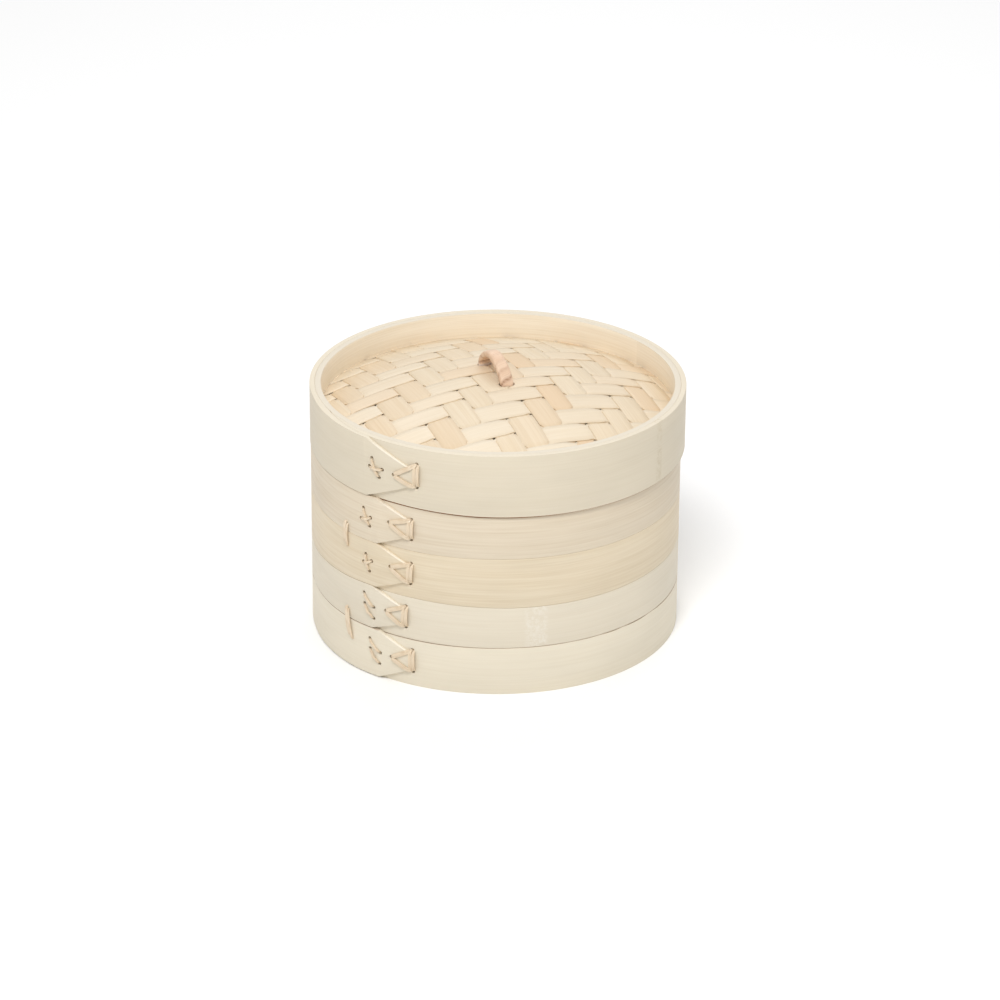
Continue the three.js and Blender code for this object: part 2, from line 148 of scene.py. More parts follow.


# %% [markdown]
# Materials can read values that the mesh keeps for each point or face. A finished piece gets its
# material, rides on a body and stands for CAD nodes, which are hidden.

# %% Storing values and standing in
def store(obj, name, values, kind="FLOAT", domain="POINT"):
    field = "vector" if kind == "FLOAT_VECTOR" else "value"
    obj.data.attributes.new(name, kind, domain).data.foreach_set(field, values)


def stand_in(obj, body, nodes, material):
    obj.data.materials.clear()
    obj.data.materials.append(material)
    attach(obj, body)
    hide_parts(*nodes)


# %% [markdown]
# ## Materials
# Split bamboo shows fine fibres along each strip. A picture of wood would have to be wrapped
# round every bend, so nodes make the pattern instead. They read a vector attribute named flat,
# which keeps each point's place on the strip before it was bent.

# %% Adding nodes
def colour(code):
    parts = [int(code[i:i + 2], 16) / 255 for i in (1, 3, 5)]
    return (*[p / 12.92 if p <= 0.04045 else ((p + 0.055) / 1.055) ** 2.4 for p in parts], 1)


def add(tree, kind, settings, links=None):
    node = tree.nodes.new(kind)
    for key, value in settings.items():
        if isinstance(key, str) and hasattr(node, key):
            setattr(node, key, value)
        else:
            node.inputs[key].default_value = value
    for key, output in (links or {}).items():
        tree.links.new(output, node.inputs[key])
    return node


def new_material(name):
    material = bpy.data.materials.new(name)
    material.use_nodes = True
    material.node_tree.nodes.clear()
    return material, material.node_tree


print("a pale cream in linear light:", [round(part, 3) for part in colour("#E9E0CE")[:3]])

# %% [markdown]
# Fibres are noise stretched along the strip, so a streak has a length and a width. A node of the
# culm, where a leaf grew, leaves a band of flecks across the strip. It is a mask along the strip
# times a finer noise.

# %% Fibres and culm nodes
FLECK = 1.923 * MM


def streaks(tree, place, length, width, detail):
    scale = (1 / length, 1 / width, 1 / width)
    stretched = add(tree, "ShaderNodeVectorMath", {"operation": "MULTIPLY", 1: scale}, {0: place})
    return add(tree, "ShaderNodeTexNoise", {"Scale": 1, "Detail": detail, "Roughness": 0.6},
               {"Vector": stretched.outputs["Vector"]}).outputs["Fac"]


def node_mark(tree, place, base, along, width, spot):
    """A band of flecks across the strip, with soft edges."""
    split = add(tree, "ShaderNodeSeparateXYZ", {}, {0: place})
    offset = add(tree, "ShaderNodeMath", {"operation": "SUBTRACT", 1: along},
                 {0: split.outputs["X"]})
    far = add(tree, "ShaderNodeMath", {"operation": "ABSOLUTE"}, {0: offset.outputs["Value"]})
    near = add(tree, "ShaderNodeMapRange",
               {"interpolation_type": "SMOOTHSTEP", "From Min": 0.3 * width,
                "From Max": 0.55 * width, "To Min": 1, "To Max": 0},
               {"Value": far.outputs["Value"]})
    fleck = add(tree, "ShaderNodeTexNoise", {"Scale": 1 / FLECK, "Detail": 3, "Roughness": 0.7},
                {"Vector": place})
    sharp = add(tree, "ShaderNodeMapRange", {"From Min": 0.42, "From Max": 0.74},
                {"Value": fleck.outputs["Fac"]})
    amount = add(tree, "ShaderNodeMath", {"operation": "MULTIPLY"},
                 {0: near.outputs["Result"], 1: sharp.outputs["Result"]})
    mixed = add(tree, "ShaderNodeMix", {"data_type": "RGBA", 7: colour(spot)},
                {0: amount.outputs["Value"], 6: base})
    return mixed.outputs[2]


print("flecks of", round(FLECK / MM, 1), "mm in a culm node")

# %% [markdown]
# The bamboo of this steamer is split and planed. Its colour has broad soft streaks, fine lines and
# short dark fibre ends, and it changes slowly along the strip. Real fibre ends are about 0.2 mm
# wide. That is finer than a pixel, so they are drawn twice as wide.

# %% Fibre colour
BROAD, FINE = (90 * MM, 3.2 * MM), (60 * MM, 1.0 * MM)
CLOUD, HAIR = (60 * MM, 20 * MM), (16 * MM, 0.42 * MM)


def fibre_colour(tree, place, fine, tones, streak):
    pale, deep, fibre = [colour(code) for code in tones]
    tone = add(tree, "ShaderNodeMapRange",
               {"From Min": 0.25, "From Max": 0.75, "To Min": 0.25, "To Max": 0.75},
               {"Value": streaks(tree, place, *BROAD, detail=3)})
    tint = add(tree, "ShaderNodeMix", {"data_type": "RGBA", 6: pale, 7: deep},
               {0: tone.outputs["Result"]})
    line = add(tree, "ShaderNodeMapRange", {"From Min": 0.42, "From Max": 0.74, "To Max": streak},
               {"Value": fine})
    lined = add(tree, "ShaderNodeMix", {"data_type": "RGBA", 7: fibre},
                {0: line.outputs["Result"], 6: tint.outputs[2]})
    tick = add(tree, "ShaderNodeMapRange",
               {"From Min": 0.66, "From Max": 0.78, "To Max": 0.55 * streak},
               {"Value": streaks(tree, place, *HAIR, detail=1)})
    ticked = add(tree, "ShaderNodeMix", {"data_type": "RGBA", 7: fibre},
                 {0: tick.outputs["Result"], 6: lined.outputs[2]})
    patch = add(tree, "ShaderNodeMapRange",
                {"From Min": 0.35, "From Max": 0.7, "To Min": 1.02, "To Max": 0.97},
                {"Value": streaks(tree, place, *CLOUD, detail=2)})
    clouded = add(tree, "ShaderNodeVectorMath", {"operation": "SCALE"},
                  {0: ticked.outputs[2], "Scale": patch.outputs["Result"]})
    return clouded.outputs["Vector"]


print("fibre streaks", [round(width / MM, 2) for _, width in (BROAD, FINE, HAIR)], "mm wide")

# %% [markdown]
# A brown, a pale colour and the culm nodes go over that colour, where the mesh says so. The brown
# is steam stain and the browner tone of some mat strips, and at the seams also painted shade of
# the seam's gap. The pale colour is a fresh cut, and on the tongue's upper edge, the lid's rim and
# the mat's front left also a painted highlight. The wood is unvarnished, and its fibres scatter
# light, so it is matt with a faint sheen. One function makes every bamboo, because the pieces
# differ only in colour.

# %% Split bamboo
FIBRE_RELIEF = 0.12 * MM


# end is the pale of a fresh cut and of painted highlight; the brown is steam stain, strip tone and
# painted seam shade
def bamboo(name, tones, shift, streak, spots=(), end="#FCF4E4", stain_and_shade="#DCBE99"):
    """Split bamboo: pale wood with long fibre streaks, fine dark fibre ends and a faint sheen."""
    material, tree = new_material(name)
    place = add(tree, "ShaderNodeAttribute", {"attribute_name": "flat"}).outputs["Vector"]
    moved = add(tree, "ShaderNodeVectorMath", {"operation": "ADD", 1: shift},
                {0: place}).outputs["Vector"]
    fine = streaks(tree, moved, *FINE, detail=3)
    # Brown by the tone values: steam stain, the tone of mat strips, and painted shade at the seams
    stain_and_shade_share = add(tree, "ShaderNodeAttribute", {"attribute_name": "tone"})
    stained_and_shaded = add(tree, "ShaderNodeMix", {"data_type": "RGBA", 7: colour(stain_and_shade)},
                  {0: stain_and_shade_share.outputs["Fac"], 6: fibre_colour(tree, moved, fine, tones, streak)})
    # Pale by the mesh's values: a fresh cut, and painted highlight on up-facing edges and the mat's
    # front left
    cut_and_highlight = add(tree, "ShaderNodeAttribute", {"attribute_name": "cut_and_highlight"})
    result = add(tree, "ShaderNodeMix", {"data_type": "RGBA", 7: colour(end)},
                 {0: cut_and_highlight.outputs["Fac"], 6: stained_and_shaded.outputs[2]}).outputs[2]
    for along, width, spot in spots:
        result = node_mark(tree, place, result, along, width, spot)
    gloss = add(tree, "ShaderNodeMapRange", {"To Min": 0.42, "To Max": 0.6}, {"Value": fine})
    relief = add(tree, "ShaderNodeBump", {"Strength": 0.25, "Distance": FIBRE_RELIEF},
                 {"Height": fine})
    surface = add(tree, "ShaderNodeBsdfPrincipled", {"Specular IOR Level": 0.35},
                  {"Base Color": result, "Roughness": gloss.outputs["Result"],
                   "Normal": relief.outputs["Normal"]})
    add(tree, "ShaderNodeOutputMaterial", {}, {"Surface": surface.outputs["BSDF"]})
    return material


print("fibres stand", round(FIBRE_RELIEF / MM, 2), "mm proud")

# %% [markdown]
# ## Bands and hoops
# The maker shaves a straight strip to shape and bends it over steam. A ring could be spun in one
# step, but the end of a real hoop lies over its start, so this follows the maker. A strip is laid
# out by stations. Each gives its place along the strip, the depths of the strip's two faces and
# the heights of its two edges.

# %% Stations
Station = namedtuple("Station", "along inner outer low high")


def middle(at):
    return Vector((at.along, -(at.inner + at.outer) / 2, (at.low + at.high) / 2))


def reshape(now, then):
    size = (1, (then.outer - then.inner) / (now.outer - now.inner),
            (then.high - then.low) / (now.high - now.low))
    bpy.ops.transform.resize(value=size, center_override=middle(then))


print("a station gives", ", ".join(Station._fields))

# %% [markdown]
# A strip starts as a cube between its first two stations. Its end face is extruded and scaled
# from station to station. Its long edges are then subdivided into short steps, because without
# them it would bend only at its stations.

# %% Flat strips
STEP, CLOSE = 2.2 * MM, 0.001 * MM


def cut_steps(strip, stations, step):
    for now, then in zip(stations, stations[1:]):
        cuts = round((then.along - now.along) / step) - 1
        if cuts > 0:
            low, high = now.along - CLOSE, then.along + CLOSE
            choose(strip, "EDGE",
                   lambda edge: abs(edge.verts[0].co.x - edge.verts[1].co.x) > CLOSE
                   and all(low < vert.co.x < high for vert in edge.verts))
            bpy.ops.mesh.subdivide(number_cuts=cuts)


def flat_strip(name, stations, step=None):
    bpy.ops.object.select_all(action="DESELECT")
    bpy.ops.mesh.primitive_cube_add(size=1)
    strip = bpy.context.object
    strip.name = name
    first, second = stations[:2]
    length = second.along - first.along
    bpy.ops.object.mode_set(mode="EDIT")
    bpy.ops.transform.resize(value=(length, first.outer - first.inner, first.high - first.low))
    bpy.ops.transform.translate(value=middle(first) + Vector((length / 2, 0, 0)))
    choose(strip, "FACE", lambda face: face.normal.x > 0.9)
    shift = middle(second) - middle(first)
    bpy.ops.transform.translate(value=(0, shift.y, shift.z))
    reshape(first, second)
    for now, then in zip(stations[1:], stations[2:]):
        bpy.ops.mesh.extrude_region_move(
            TRANSFORM_OT_translate={"value": middle(then) - middle(now)})
        reshape(now, then)
    if step:
        cut_steps(strip, stations, step)
    bpy.ops.mesh.select_all(action="SELECT")
    bpy.ops.mesh.normals_make_consistent(inside=False)
    bpy.ops.object.mode_set(mode="OBJECT")
    return strip


print("strips are cut every", round(STEP / MM, 1), "mm")

# %% [markdown]
# The cane goes through drilled holes. Drilling is easiest while the strip is flat, where every
# hole runs straight through it: cylinders are joined to one cutter and taken away.

# %% Drill holes
HOLE_RADIUS, HOLE_SIDES, DRILL_LENGTH = 1.1 * MM, 14, 20 * MM


def drill(strip, holes):
    tools = []
    for along, height in holes:
        bpy.ops.object.select_all(action="DESELECT")
        bpy.ops.mesh.primitive_cylinder_add(
            vertices=HOLE_SIDES, radius=HOLE_RADIUS, depth=DRILL_LENGTH,
            location=(along, 0, height), rotation=(math.pi / 2, 0, 0))
        tools.append(bpy.context.object)
    cut_away(strip, joined("cutter", tools))


print("holes of", round(2 * HOLE_RADIUS / MM, 1), "mm")

# %% [markdown]
# The wall that a strip is bent round is a path whose radius follows a lane: a list of angles with
# a value at each, and straight lines between them. Lanes give heights and depths too.

# %% Lanes and walls
def lane_value(lane, angle):
    for (a, before), (b, after) in zip(lane, lane[1:]):
        if angle <= b:
            return before + (after - before) * max(0, angle - a) / (b - a)
    return lane[-1][1]


def ease(t):
    t = min(1, max(0, t))
    return t * t * (3 - 2 * t)


def wall_point(angle, radius, shift):
    turn = math.radians(angle)
    return Vector((shift + radius * math.sin(turn), -radius * math.cos(turn), 0))


print("halfway along a lane from 0 to 1:", lane_value([(0, 0), (90, 1)], 45))

# %% [markdown]
# A Curve modifier bends a strip along a path. It keeps the strip's length on the path, as steam
# bending does. Every point could be turned by a formula instead, but a path shows where a hoop
# runs before anything is bent.

# %% Spiral paths
def bend_along(obj, points, closed=False):
    curve = bpy.data.curves.new("path", "CURVE")
    curve.dimensions = "2D"
    spline = curve.splines.new("POLY")
    spline.use_cyclic_u = closed
    spline.points.add(len(points) - 1)
    for point, place in zip(spline.points, points):
        point.co = (*place, 1)
    path = bpy.data.objects.new("path", curve)
    scene.collection.objects.link(path)
    modify(obj, "CURVE", object=path, deform_axis="POS_X")
    discard(path)


class Spiral:
    """A path round the Z axis, with a point at about every degree of its lane of radii."""

    def __init__(self, lane, shift=0):
        start, end = lane[0][0], lane[-1][0]
        count = round(end - start)
        self.angles = [start + (end - start) * i / count for i in range(count + 1)]
        self.points = [wall_point(angle, lane_value(lane, angle), shift) for angle in self.angles]
        self.lengths = [0]
        for before, after in zip(self.points, self.points[1:]):
            self.lengths.append(self.lengths[-1] + (after - before).length)

    def along(self, angle):
        return lane_value(list(zip(self.angles, self.lengths)), angle)

    def bend(self, obj):
        bend_along(obj, self.points)


TIER_RADIUS = 100 * MM
turn = Spiral([(0, TIER_RADIUS), (360, TIER_RADIUS)])
print("once round a tier is", round(turn.lengths[-1] / MM), "mm")

# %% [markdown]
# Before a piece is bent, the place of each point on it is stored for its material. Pieces that
# share a material are moved apart there, so that no two show the same grain.

# %% Keep the flat place
APART = 0.3


def keep_flat(obj, order=0, turned=False):
    """Stores the place of each point, for a piece along X, or along Y where it is turned."""
    rows = [(v.co.y, v.co.z, v.co.x) if turned else v.co for v in obj.data.vertices]
    flat = [value for row in rows for value in (row[0] + APART * order, row[1], row[2])]
    store(obj, "flat", flat, "FLOAT_VECTOR")


print("grain of neighbours is", round(APART / MM), "mm apart")

# %% [markdown]
# Each band is one strip, whose end climbs over its own feathered start and runs on as a pointed
# tongue that is laced down. The bands share the lengths of that lap, and the lid's wall is a
# little wider than a tier's.

# %% Lap sizes
FIT, FEATHER, BAND_THICK = 0.05 * MM, 0.5 * MM, 2.8 * MM
TONGUE, TIP, TIP_RISE = 2.25 * MM, 1.2 * MM, 0.8 * MM
LAP, SCARF, RISE, CLIMB = 37 * MM, 30 * MM, 24 * MM, 5 * MM
LID_SHIFT = 0.9 * MM
TIER_WALL = dict(radius=TIER_RADIUS, shift=0, taper=20 * MM, height=9 * MM, rim=0)
# rim: how much painted highlight the top of the wall's rim gets
LID_WALL = dict(radius=101.2 * MM, shift=LID_SHIFT, taper=30 * MM, height=8 * MM, rim=0.08)
print("a lap takes", round((LAP + SCARF) / MM), "mm of a strip")

# %% [markdown]
# The photo gives the place of each tongue's tip, of the holes and of the edges. The edges stray a
# little from true, as split bamboo does, so the seams between the bands open and close. Some seams
# are painted brown, partly as steam stain and partly as painted shade of their gap.

# %% Band sizes
NO_SEAM = dict(side=0, share=0, fade=0, slope=1)
# tip: angle of the tongue's tip. apex, top, bottom, backs: holes of the triangle and of the
# stitches behind it, as angle and height above the table in mm. low_stray, high_stray: how far
# an edge is from true, as angle and mm. seam: which edge is painted brown, as steam stain and
# painted shade of the seam, how much, the angle where the brown fades out, and the least slope of
# the faces that it covers.
BANDS = {
    "lower_tier_lower_band": dict(
        tip=-25.5, apex=(-32.4, 14.6), top=(-25.6, 20.8), bottom=(-25.4, 8.3),
        backs=[(-40.3, 21.6), (-40.1, 15.7), (-36.3, 15.1), (-36.6, 8.7)],
        low_stray=[(0, 0), (250, 0), (300, 0.6)],
        high_stray=[(-62, -0.05), (-20, -0.05), (-2, 0.15), (8, 0.2), (12, 0.1), (21, 0.1),
                    (24, 0.22), (27, 0.1), (31, 0.1), (34, 0.22), (37, -0.1), (40, -0.1),
                    (43, 0.22), (46.5, -0.15), (51.5, -0.15), (55, 0.2), (58, 0.2), (62, -0.1),
                    (84, -0.1), (95, 0.15), (180, 0.15), (270, 1.22)],
        seam=dict(side=1, share=0.5, fade=360, slope=0.6)),
    "lower_tier_upper_band": dict(
        tip=-28.0, apex=(-34.3, 40.9), top=(-27.8, 45.8), bottom=(-27.9, 33.7),
        backs=[(-42.5, 47.4), (-42.3, 41.2), (-38.7, 40.7), (-38.7, 34.2)],
        low_stray=[(0, 0), (180, 0), (270, 1.3)],
        high_stray=[(-62, 0.2), (-25, 0.1), (6, -1.0), (24, -0.9), (60, -0.1), (180, 0.2),
                    (285, -0.9), (318, 1.7)]),
    "upper_tier_lower_band": dict(
        tip=-26.2, apex=(-32.7, 67.4), top=(-26.0, 71.3), bottom=(-26.3, 59.7),
        backs=[(-41.7, 70.4), (-42.7, 65.4), (-39.4, 67.4), (-40.3, 61.2)],
        low_stray=[(-62, 0), (-25, -0.1), (6, -1.2), (24, -1.1), (60, -0.3), (180, 0),
                   (285, -1.1), (318, 1.6)],
        high_stray=[(0, 0.25)]),
    "upper_tier_upper_band": dict(
        tip=-26.0, apex=(-33.1, 92.9), top=(-25.9, 96.7), bottom=(-26.0, 85.3),
        backs=[(-42.5, 96.7), (-43.6, 90.1), (-39.7, 92.4), (-40.1, 87.4)],
        high_stray=[(-62, 0.5), (-41, 0.5), (-38, 1.15), (-32, 1.15), (-25, 0.95), (-6, 0),
                    (18, -0.3), (47, 0), (60, 0.1), (180, 0.1), (270, 1.8)],
        seam=dict(side=1, share=1, fade=260, slope=0.2)),
    "lid_outer_hoop": dict(
        tip=-24.5, apex=(-31.6, 121.3), top=(-24.3, 129.2), bottom=(-24.3, 116.3),
        backs=[(-39.2, 127.4), (-40.1, 122.4), (-35.5, 122.4), (-36.6, 117.6)],
        low_stray=[(-62, 1.3), (-32, 1.3), (-25, 1.0), (-6, 0.2), (18, -0.1), (47, 0), (180, 0),
                   (270, 1.8)],
        seam=dict(side=-1, share=1, fade=260, slope=0.2)),
}
for name, band in BANDS.items():
    low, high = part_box(name)
    band.update(LID_WALL if name.startswith("lid") else TIER_WALL)
    band["body"] = next(body for body in ("lid", *TIERS) if name.startswith(body))
    band["low"], band["high"] = low.z, high.z
    print(name, "from", round(low.z / MM, 1), "to", round(high.z / MM, 1), "mm")

# %% [markdown]
# Two lanes give the inner and the outer face of a band. They start close together at the
# feathered end, run one wall apart, and climb over the start to the tongue.

# %% Lanes of a band
def back(band, length):
    """The angle that lies a length behind the tongue's tip."""
    return band["tip"] - math.degrees(length / band["radius"])


def band_lanes(band):
    inside = band["radius"] - BAND_THICK
    proud = band["radius"] + FIT
    start, scarf_end = back(band, LAP + SCARF), back(band, LAP)
    rise, end = back(band, LAP + SCARF + RISE) + 360, band["tip"] + 360
    climb = back(band, LAP + SCARF + CLIMB) + 360
    over = inside + FEATHER + FIT
    inner = [(start, inside), (climb, inside), (start + 360, over), (scarf_end + 360, proud),
             (end, proud)]
    outer = [(start, inside + FEATHER), (scarf_end, band["radius"]), (rise, band["radius"]),
             (scarf_end + 360, proud + TONGUE), (back(band, band["taper"]) + 360, proud + TONGUE),
             (end, proud + TIP)]
    return inner, outer


def edge_lane(band, edge, start, taper):
    stray = band.get(edge + "_stray", [(0, 0)])
    between = [angle for angle, _ in stray if start < angle < taper]
    return [(angle, band[edge] + lane_value(stray, angle) * MM)
            for angle in (start, *between, taper)]


sample = band_lanes(BANDS["lid_outer_hoop"])[0]
print("the lid's strip turns", round(sample[-1][0] - sample[0][0]), "degrees")

# %% [markdown]
# The maker shaves the tongue's upper edge, and a bevel makes the cut. Its faces that look up are
# painted pale, partly as the fresh cut and partly as a painted highlight, and the top of the lid's
# rim gets a little painted highlight. The edges at a seam are painted brown, partly as steam stain
# and partly as painted shade of the seam's gap. Values on the faces say where, so that the same
# material can show all of these.

# %% Shave, stain and painted light
TONGUE_CHAMFER, CHAMFER_REACH = 0.45 * MM, 0.01 * MM
SHAVED_AND_LIT, SHAVED_AND_LIT_FADE = 0.55, 9 * MM
SHADE_AND_STAIN_LEFT, SHADE_AND_STAIN_FLAT, SHADE_AND_STAIN_FADE = 0.05, 0.6, 50 * MM


def chamfer_tongue(strip, from_x, tip):
    pick(strip)
    bpy.ops.object.mode_set(mode="EDIT")
    choose(strip, "EDGE", lambda edge: all(
        vert.co.x > from_x - CHAMFER_REACH and vert.co.y < -0.9 * TIP and vert.co.z > tip
        for vert in edge.verts))
    bpy.ops.mesh.bevel(offset=TONGUE_CHAMFER, segments=2, affect="EDGES")
    bpy.ops.object.mode_set(mode="OBJECT")


def mark_faces(strip, name, value):
    store(strip, name, [value(face) for face in strip.data.polygons], domain="FACE")


def cut_and_highlight_edge(face, from_x, rim):
    """How pale a face is painted: the tongue's upper edge, as a fresh cut and a painted highlight,
    and the top of the lid's rim a little, as a painted highlight.
    """
    shaved = SHAVED_AND_LIT * ease((face.center.x - from_x) / SHAVED_AND_LIT_FADE) if face.normal.z > 0.2 else 0
    return max(shaved, rim if face.normal.z > 0.4 else 0)


def seam_shade_and_stain(face, seam, from_x, to_x):
    """Brown at a seam, steam stain and painted shade of its gap: strong on the rounding, weaker on
    the flat edge, and fading out before the lap."""
    if face.center.x > to_x or face.normal.z * seam["side"] < seam["slope"]:
        return 0
    faded = (1 - SHADE_AND_STAIN_LEFT) * ease((face.center.x - from_x) / SHADE_AND_STAIN_FADE)
    brown = seam["share"] * (1 - faded)
    return brown if face.normal.y < -0.2 else SHADE_AND_STAIN_FLAT * brown


print("tongues shaved by", round(TONGUE_CHAMFER / MM, 2), "mm")

# %% [markdown]
# A band is made in the maker's order: shape the strip, shave it, round its edges, drill it and
# bend it. Holes of the triangle's tip and of the stitches go through both layers of the lap.

# %% Bend a band
BAND_ROUND = 0.4 * MM


def bent_band(name, band):
    inner, outer = band_lanes(band)
    spiral = Spiral(inner, band["shift"])
    taper, end = back(band, band["taper"]) + 360, band["tip"] + 360
    tip = (band["low"] + band["high"]) / 2 + TIP_RISE
    low = edge_lane(band, "low", inner[0][0], taper) + [(end, tip - band["height"] / 2)]
    high = edge_lane(band, "high", inner[0][0], taper) + [(end, tip + band["height"] / 2)]
    turns = sorted({angle for lane in (inner, outer, low, high) for angle, _ in lane})
    stations = [Station(spiral.along(angle), 0, lane_value(outer, angle) - lane_value(inner, angle),
                        lane_value(low, angle), lane_value(high, angle)) for angle in turns]
    strip = flat_strip(name, stations, STEP)
    tongue_x, seam = spiral.along(taper), band.get("seam", NO_SEAM)
    fade_x = spiral.along(seam["fade"])
    chamfer_tongue(strip, tongue_x, tip)
    round_edges(strip, BAND_ROUND)
    # Pale paint: fresh cut and painted highlight on the tongue's upper edge, painted highlight on
    # the rim
    mark_faces(strip, "cut_and_highlight", lambda face: cut_and_highlight_edge(face, tongue_x, band["rim"]))
    # Brown paint: steam stain and painted shade along the seam
    mark_faces(strip, "tone", lambda face: seam_shade_and_stain(face, seam, fade_x, tongue_x))
    through = [(angle + layer, height) for angle, height in (band["apex"], *band["backs"])
               for layer in (0, 360)]
    holes = [*through, band["top"], band["bottom"]]
    drill(strip, [(spiral.along(angle), height * MM) for angle, height in holes])
    keep_flat(strip)
    spiral.bend(strip)
    smooth(strip, 40)
    return strip, spiral


print("edges rounded by", round(BAND_ROUND / MM, 1), "mm")

# %% [markdown]
# The colours come from the photo: pale cream for the lid and the lower tier, and a warmer tan for
# the upper tier. Two bands show a culm node.

# %% Make the bands
BAND_TONES = {
    "lower_tier_lower_band": ("#E9E0CE", "#E6DCC7", "#CFBFA3"),
    "lower_tier_upper_band": ("#E4DBC9", "#E1D6C2", "#CABA9F"),
    "upper_tier_lower_band": ("#E8DBC4", "#DFCEB1", "#C6AE89"),
    "upper_tier_upper_band": ("#E6DAC6", "#DCCCB3", "#C5AF8F"),
    "lid_outer_hoop": ("#E1D6C2", "#DDD2BC", "#C9B89B"),
}
# Angle, width and colour of a culm node
CULM_NODES = {"lower_tier_upper_band": (12.8, 13 * MM, "#ECE5D8"),
              "lid_outer_hoop": (57.5, 6 * MM, "#D1C3A8")}
GRAIN_SHIFT = (0.37, 0.011, 0.13)
for number, (name, band) in enumerate(BANDS.items()):
    strip, spiral = bent_band(name + "_strip", band)
    marks = []
    if name in CULM_NODES:
        angle, width, spot = CULM_NODES[name]
        marks.append((spiral.along(angle), width, spot))
    tan = band["body"] == "upper_tier"
    # The bands' brown is steam stain and painted seam shade
    material = bamboo("bamboo_" + name, BAND_TONES[name], [part * number for part in GRAIN_SHIFT],
                      streak=0.3 if tan else 0.15, spots=marks, stain_and_shade="#8E5A2C")
    stand_in(strip, band["body"], [name], material)
    print(name, len(strip.data.polygons), "faces")

# %% [markdown]
# ## Inner hoops and rings
# The hoops inside carry the next tier and hold the floor and the mats. Their ends meet in a flush
# scarf at the back, where both share the thickness, so one thin end runs under the other and the
# same strip and spiral will do. Their upper edge is greyer. The outer face that another hoop covers
# is browned, partly as steam stain and partly as painted shade where it shows in the seams.

# %% Flush hoops
HOOP_OUTER, HOOP_THICK = 96.9 * MM, 3 * MM
LID_HOOP_OUTER, LID_HOOP_THICK, LID_HOOP_SUNK = 98.4 * MM, 3.3 * MM, 1.6 * MM
HOOP_END, HOOP_SCARF = 150, 40 * MM


def flush_hoop(name, node, outer, thick, shift=0, sunk=0, stain_and_shade=0, edge=0.45 * MM):
    low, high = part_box(node)
    inside, end = outer - thick, HOOP_END
    start = end - math.degrees(HOOP_SCARF / outer)
    spiral = Spiral([(start, inside), (start + 360, inside), (end + 360, outer - FEATHER)], shift)
    depths = [(start, FEATHER), (end, thick - FEATHER - FIT), (end + 1, thick),
              (start + 360, thick), (end + 360, FEATHER)]
    stations = [Station(spiral.along(angle), 0, depth, low.z - sunk, high.z)
                for angle, depth in depths]
    strip = flat_strip(name, stations, STEP)
    round_edges(strip, edge)
    mark_faces(strip, "cut_and_highlight", lambda face: 1 if face.normal.z > 0.4 else 0)
    # Brown paint on the covered outer face: steam stain and painted seam shade
    mark_faces(strip, "tone", lambda face: stain_and_shade if face.normal.y < -0.7 else 0)
    keep_flat(strip)
    spiral.bend(strip)
    smooth(strip, 40)
    return strip


hoop_bamboo = bamboo("bamboo_inner_hoops", ("#F9F0DF", "#F1E3CC", "#DDC9A8"), (0.9, 0.02, 0.4),
                     streak=0.35, end="#DDD3C1")
for tier in TIERS:
    hoop = flush_hoop(tier + "_hoop_strip", tier + "_inner_hoop", HOOP_OUTER, HOOP_THICK, stain_and_shade=0.9)
    stand_in(hoop, tier, [tier + "_inner_hoop"], hoop_bamboo)
    ring = flush_hoop(tier + "_ring_strip", tier + "_floor_ring", HOOP_OUTER, HOOP_THICK)
    stand_in(ring, tier, [tier + "_floor_ring"], hoop_bamboo)
for node, sunk in (("lid_inner_hoop", LID_HOOP_SUNK), ("lid_seat_ring", 0)):
    hoop = flush_hoop(node + "_strip", node, LID_HOOP_OUTER, LID_HOOP_THICK, LID_SHIFT, sunk,
                      edge=0.25 * MM)
    stand_in(hoop, "lid", [node], hoop_bamboo)
print("six hoops and rings bent")

# %% [markdown]
# ## Floor slats and battens
# Flat slats carry the food, and two battens hold them from below. Their CAD shapes are right, so
# they aren't modelled again: a copy of each node is merged, its flat faces are joined and its
# edges are rounded as a plane leaves them.

# %% Dress the slats
SLATS = 9
SLAT_ROUND, BATTEN_ROUND = 0.6 * MM, 0.4 * MM


def dressed(node, width, order, turned=False):
    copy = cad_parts[node].copy()
    copy.data = copy.data.copy()
    copy.name = node + "_planed"
    scene.collection.objects.link(copy)
    # Without the node's own properties and parent the copy is a new piece
    for key in list(copy.keys()):
        del copy[key]
    copy.parent = None
    pick(copy)
    bpy.ops.object.mode_set(mode="EDIT")
    bpy.ops.mesh.select_all(action="SELECT")
    bpy.ops.mesh.remove_doubles(threshold=CLOSE)
    bpy.ops.mesh.dissolve_limited(angle_limit=math.radians(1))
    bpy.ops.object.mode_set(mode="OBJECT")
    round_edges(copy, width, segments=2)
    keep_flat(copy, order, turned)
    smooth(copy, 35)
    return copy


slat_bamboo = bamboo("bamboo_slats", ("#EBDDC0", "#DFCBA2", "#C3A774"), (0.2, 0.3, 0.1), streak=0.6)
for tier in TIERS:
    for number in range(1, SLATS + 1):
        node = f"{tier}_slat_{number}"
        stand_in(dressed(node, SLAT_ROUND, number), tier, [node], slat_bamboo)
    for side in ("left", "right"):
        node = f"{tier}_{side}_batten"
        batten = dressed(node, BATTEN_ROUND, SLATS + 2, turned=True)
        stand_in(batten, tier, [node], slat_bamboo)
print(len(TIERS) * SLATS, "slats and", 2 * len(TIERS), "battens dressed")

# %% [markdown]
# ## Cane
# The lacing and the handle are peeled rattan cane. Its skin is smoother and pinker than the
# bamboo, and has fine lines along it and a soft shine. Painted shade darkens it in the creases, and
# a painted highlight makes the handle's front foot paler. Real lines are under 0.3 mm apart, so
# they are drawn wider to show.

# %% Peeled cane
CANE_GRAIN, CANE_CLOUD, CANE_RELIEF = (30 * MM, 0.5 * MM), 6.25 * MM, 0.1 * MM


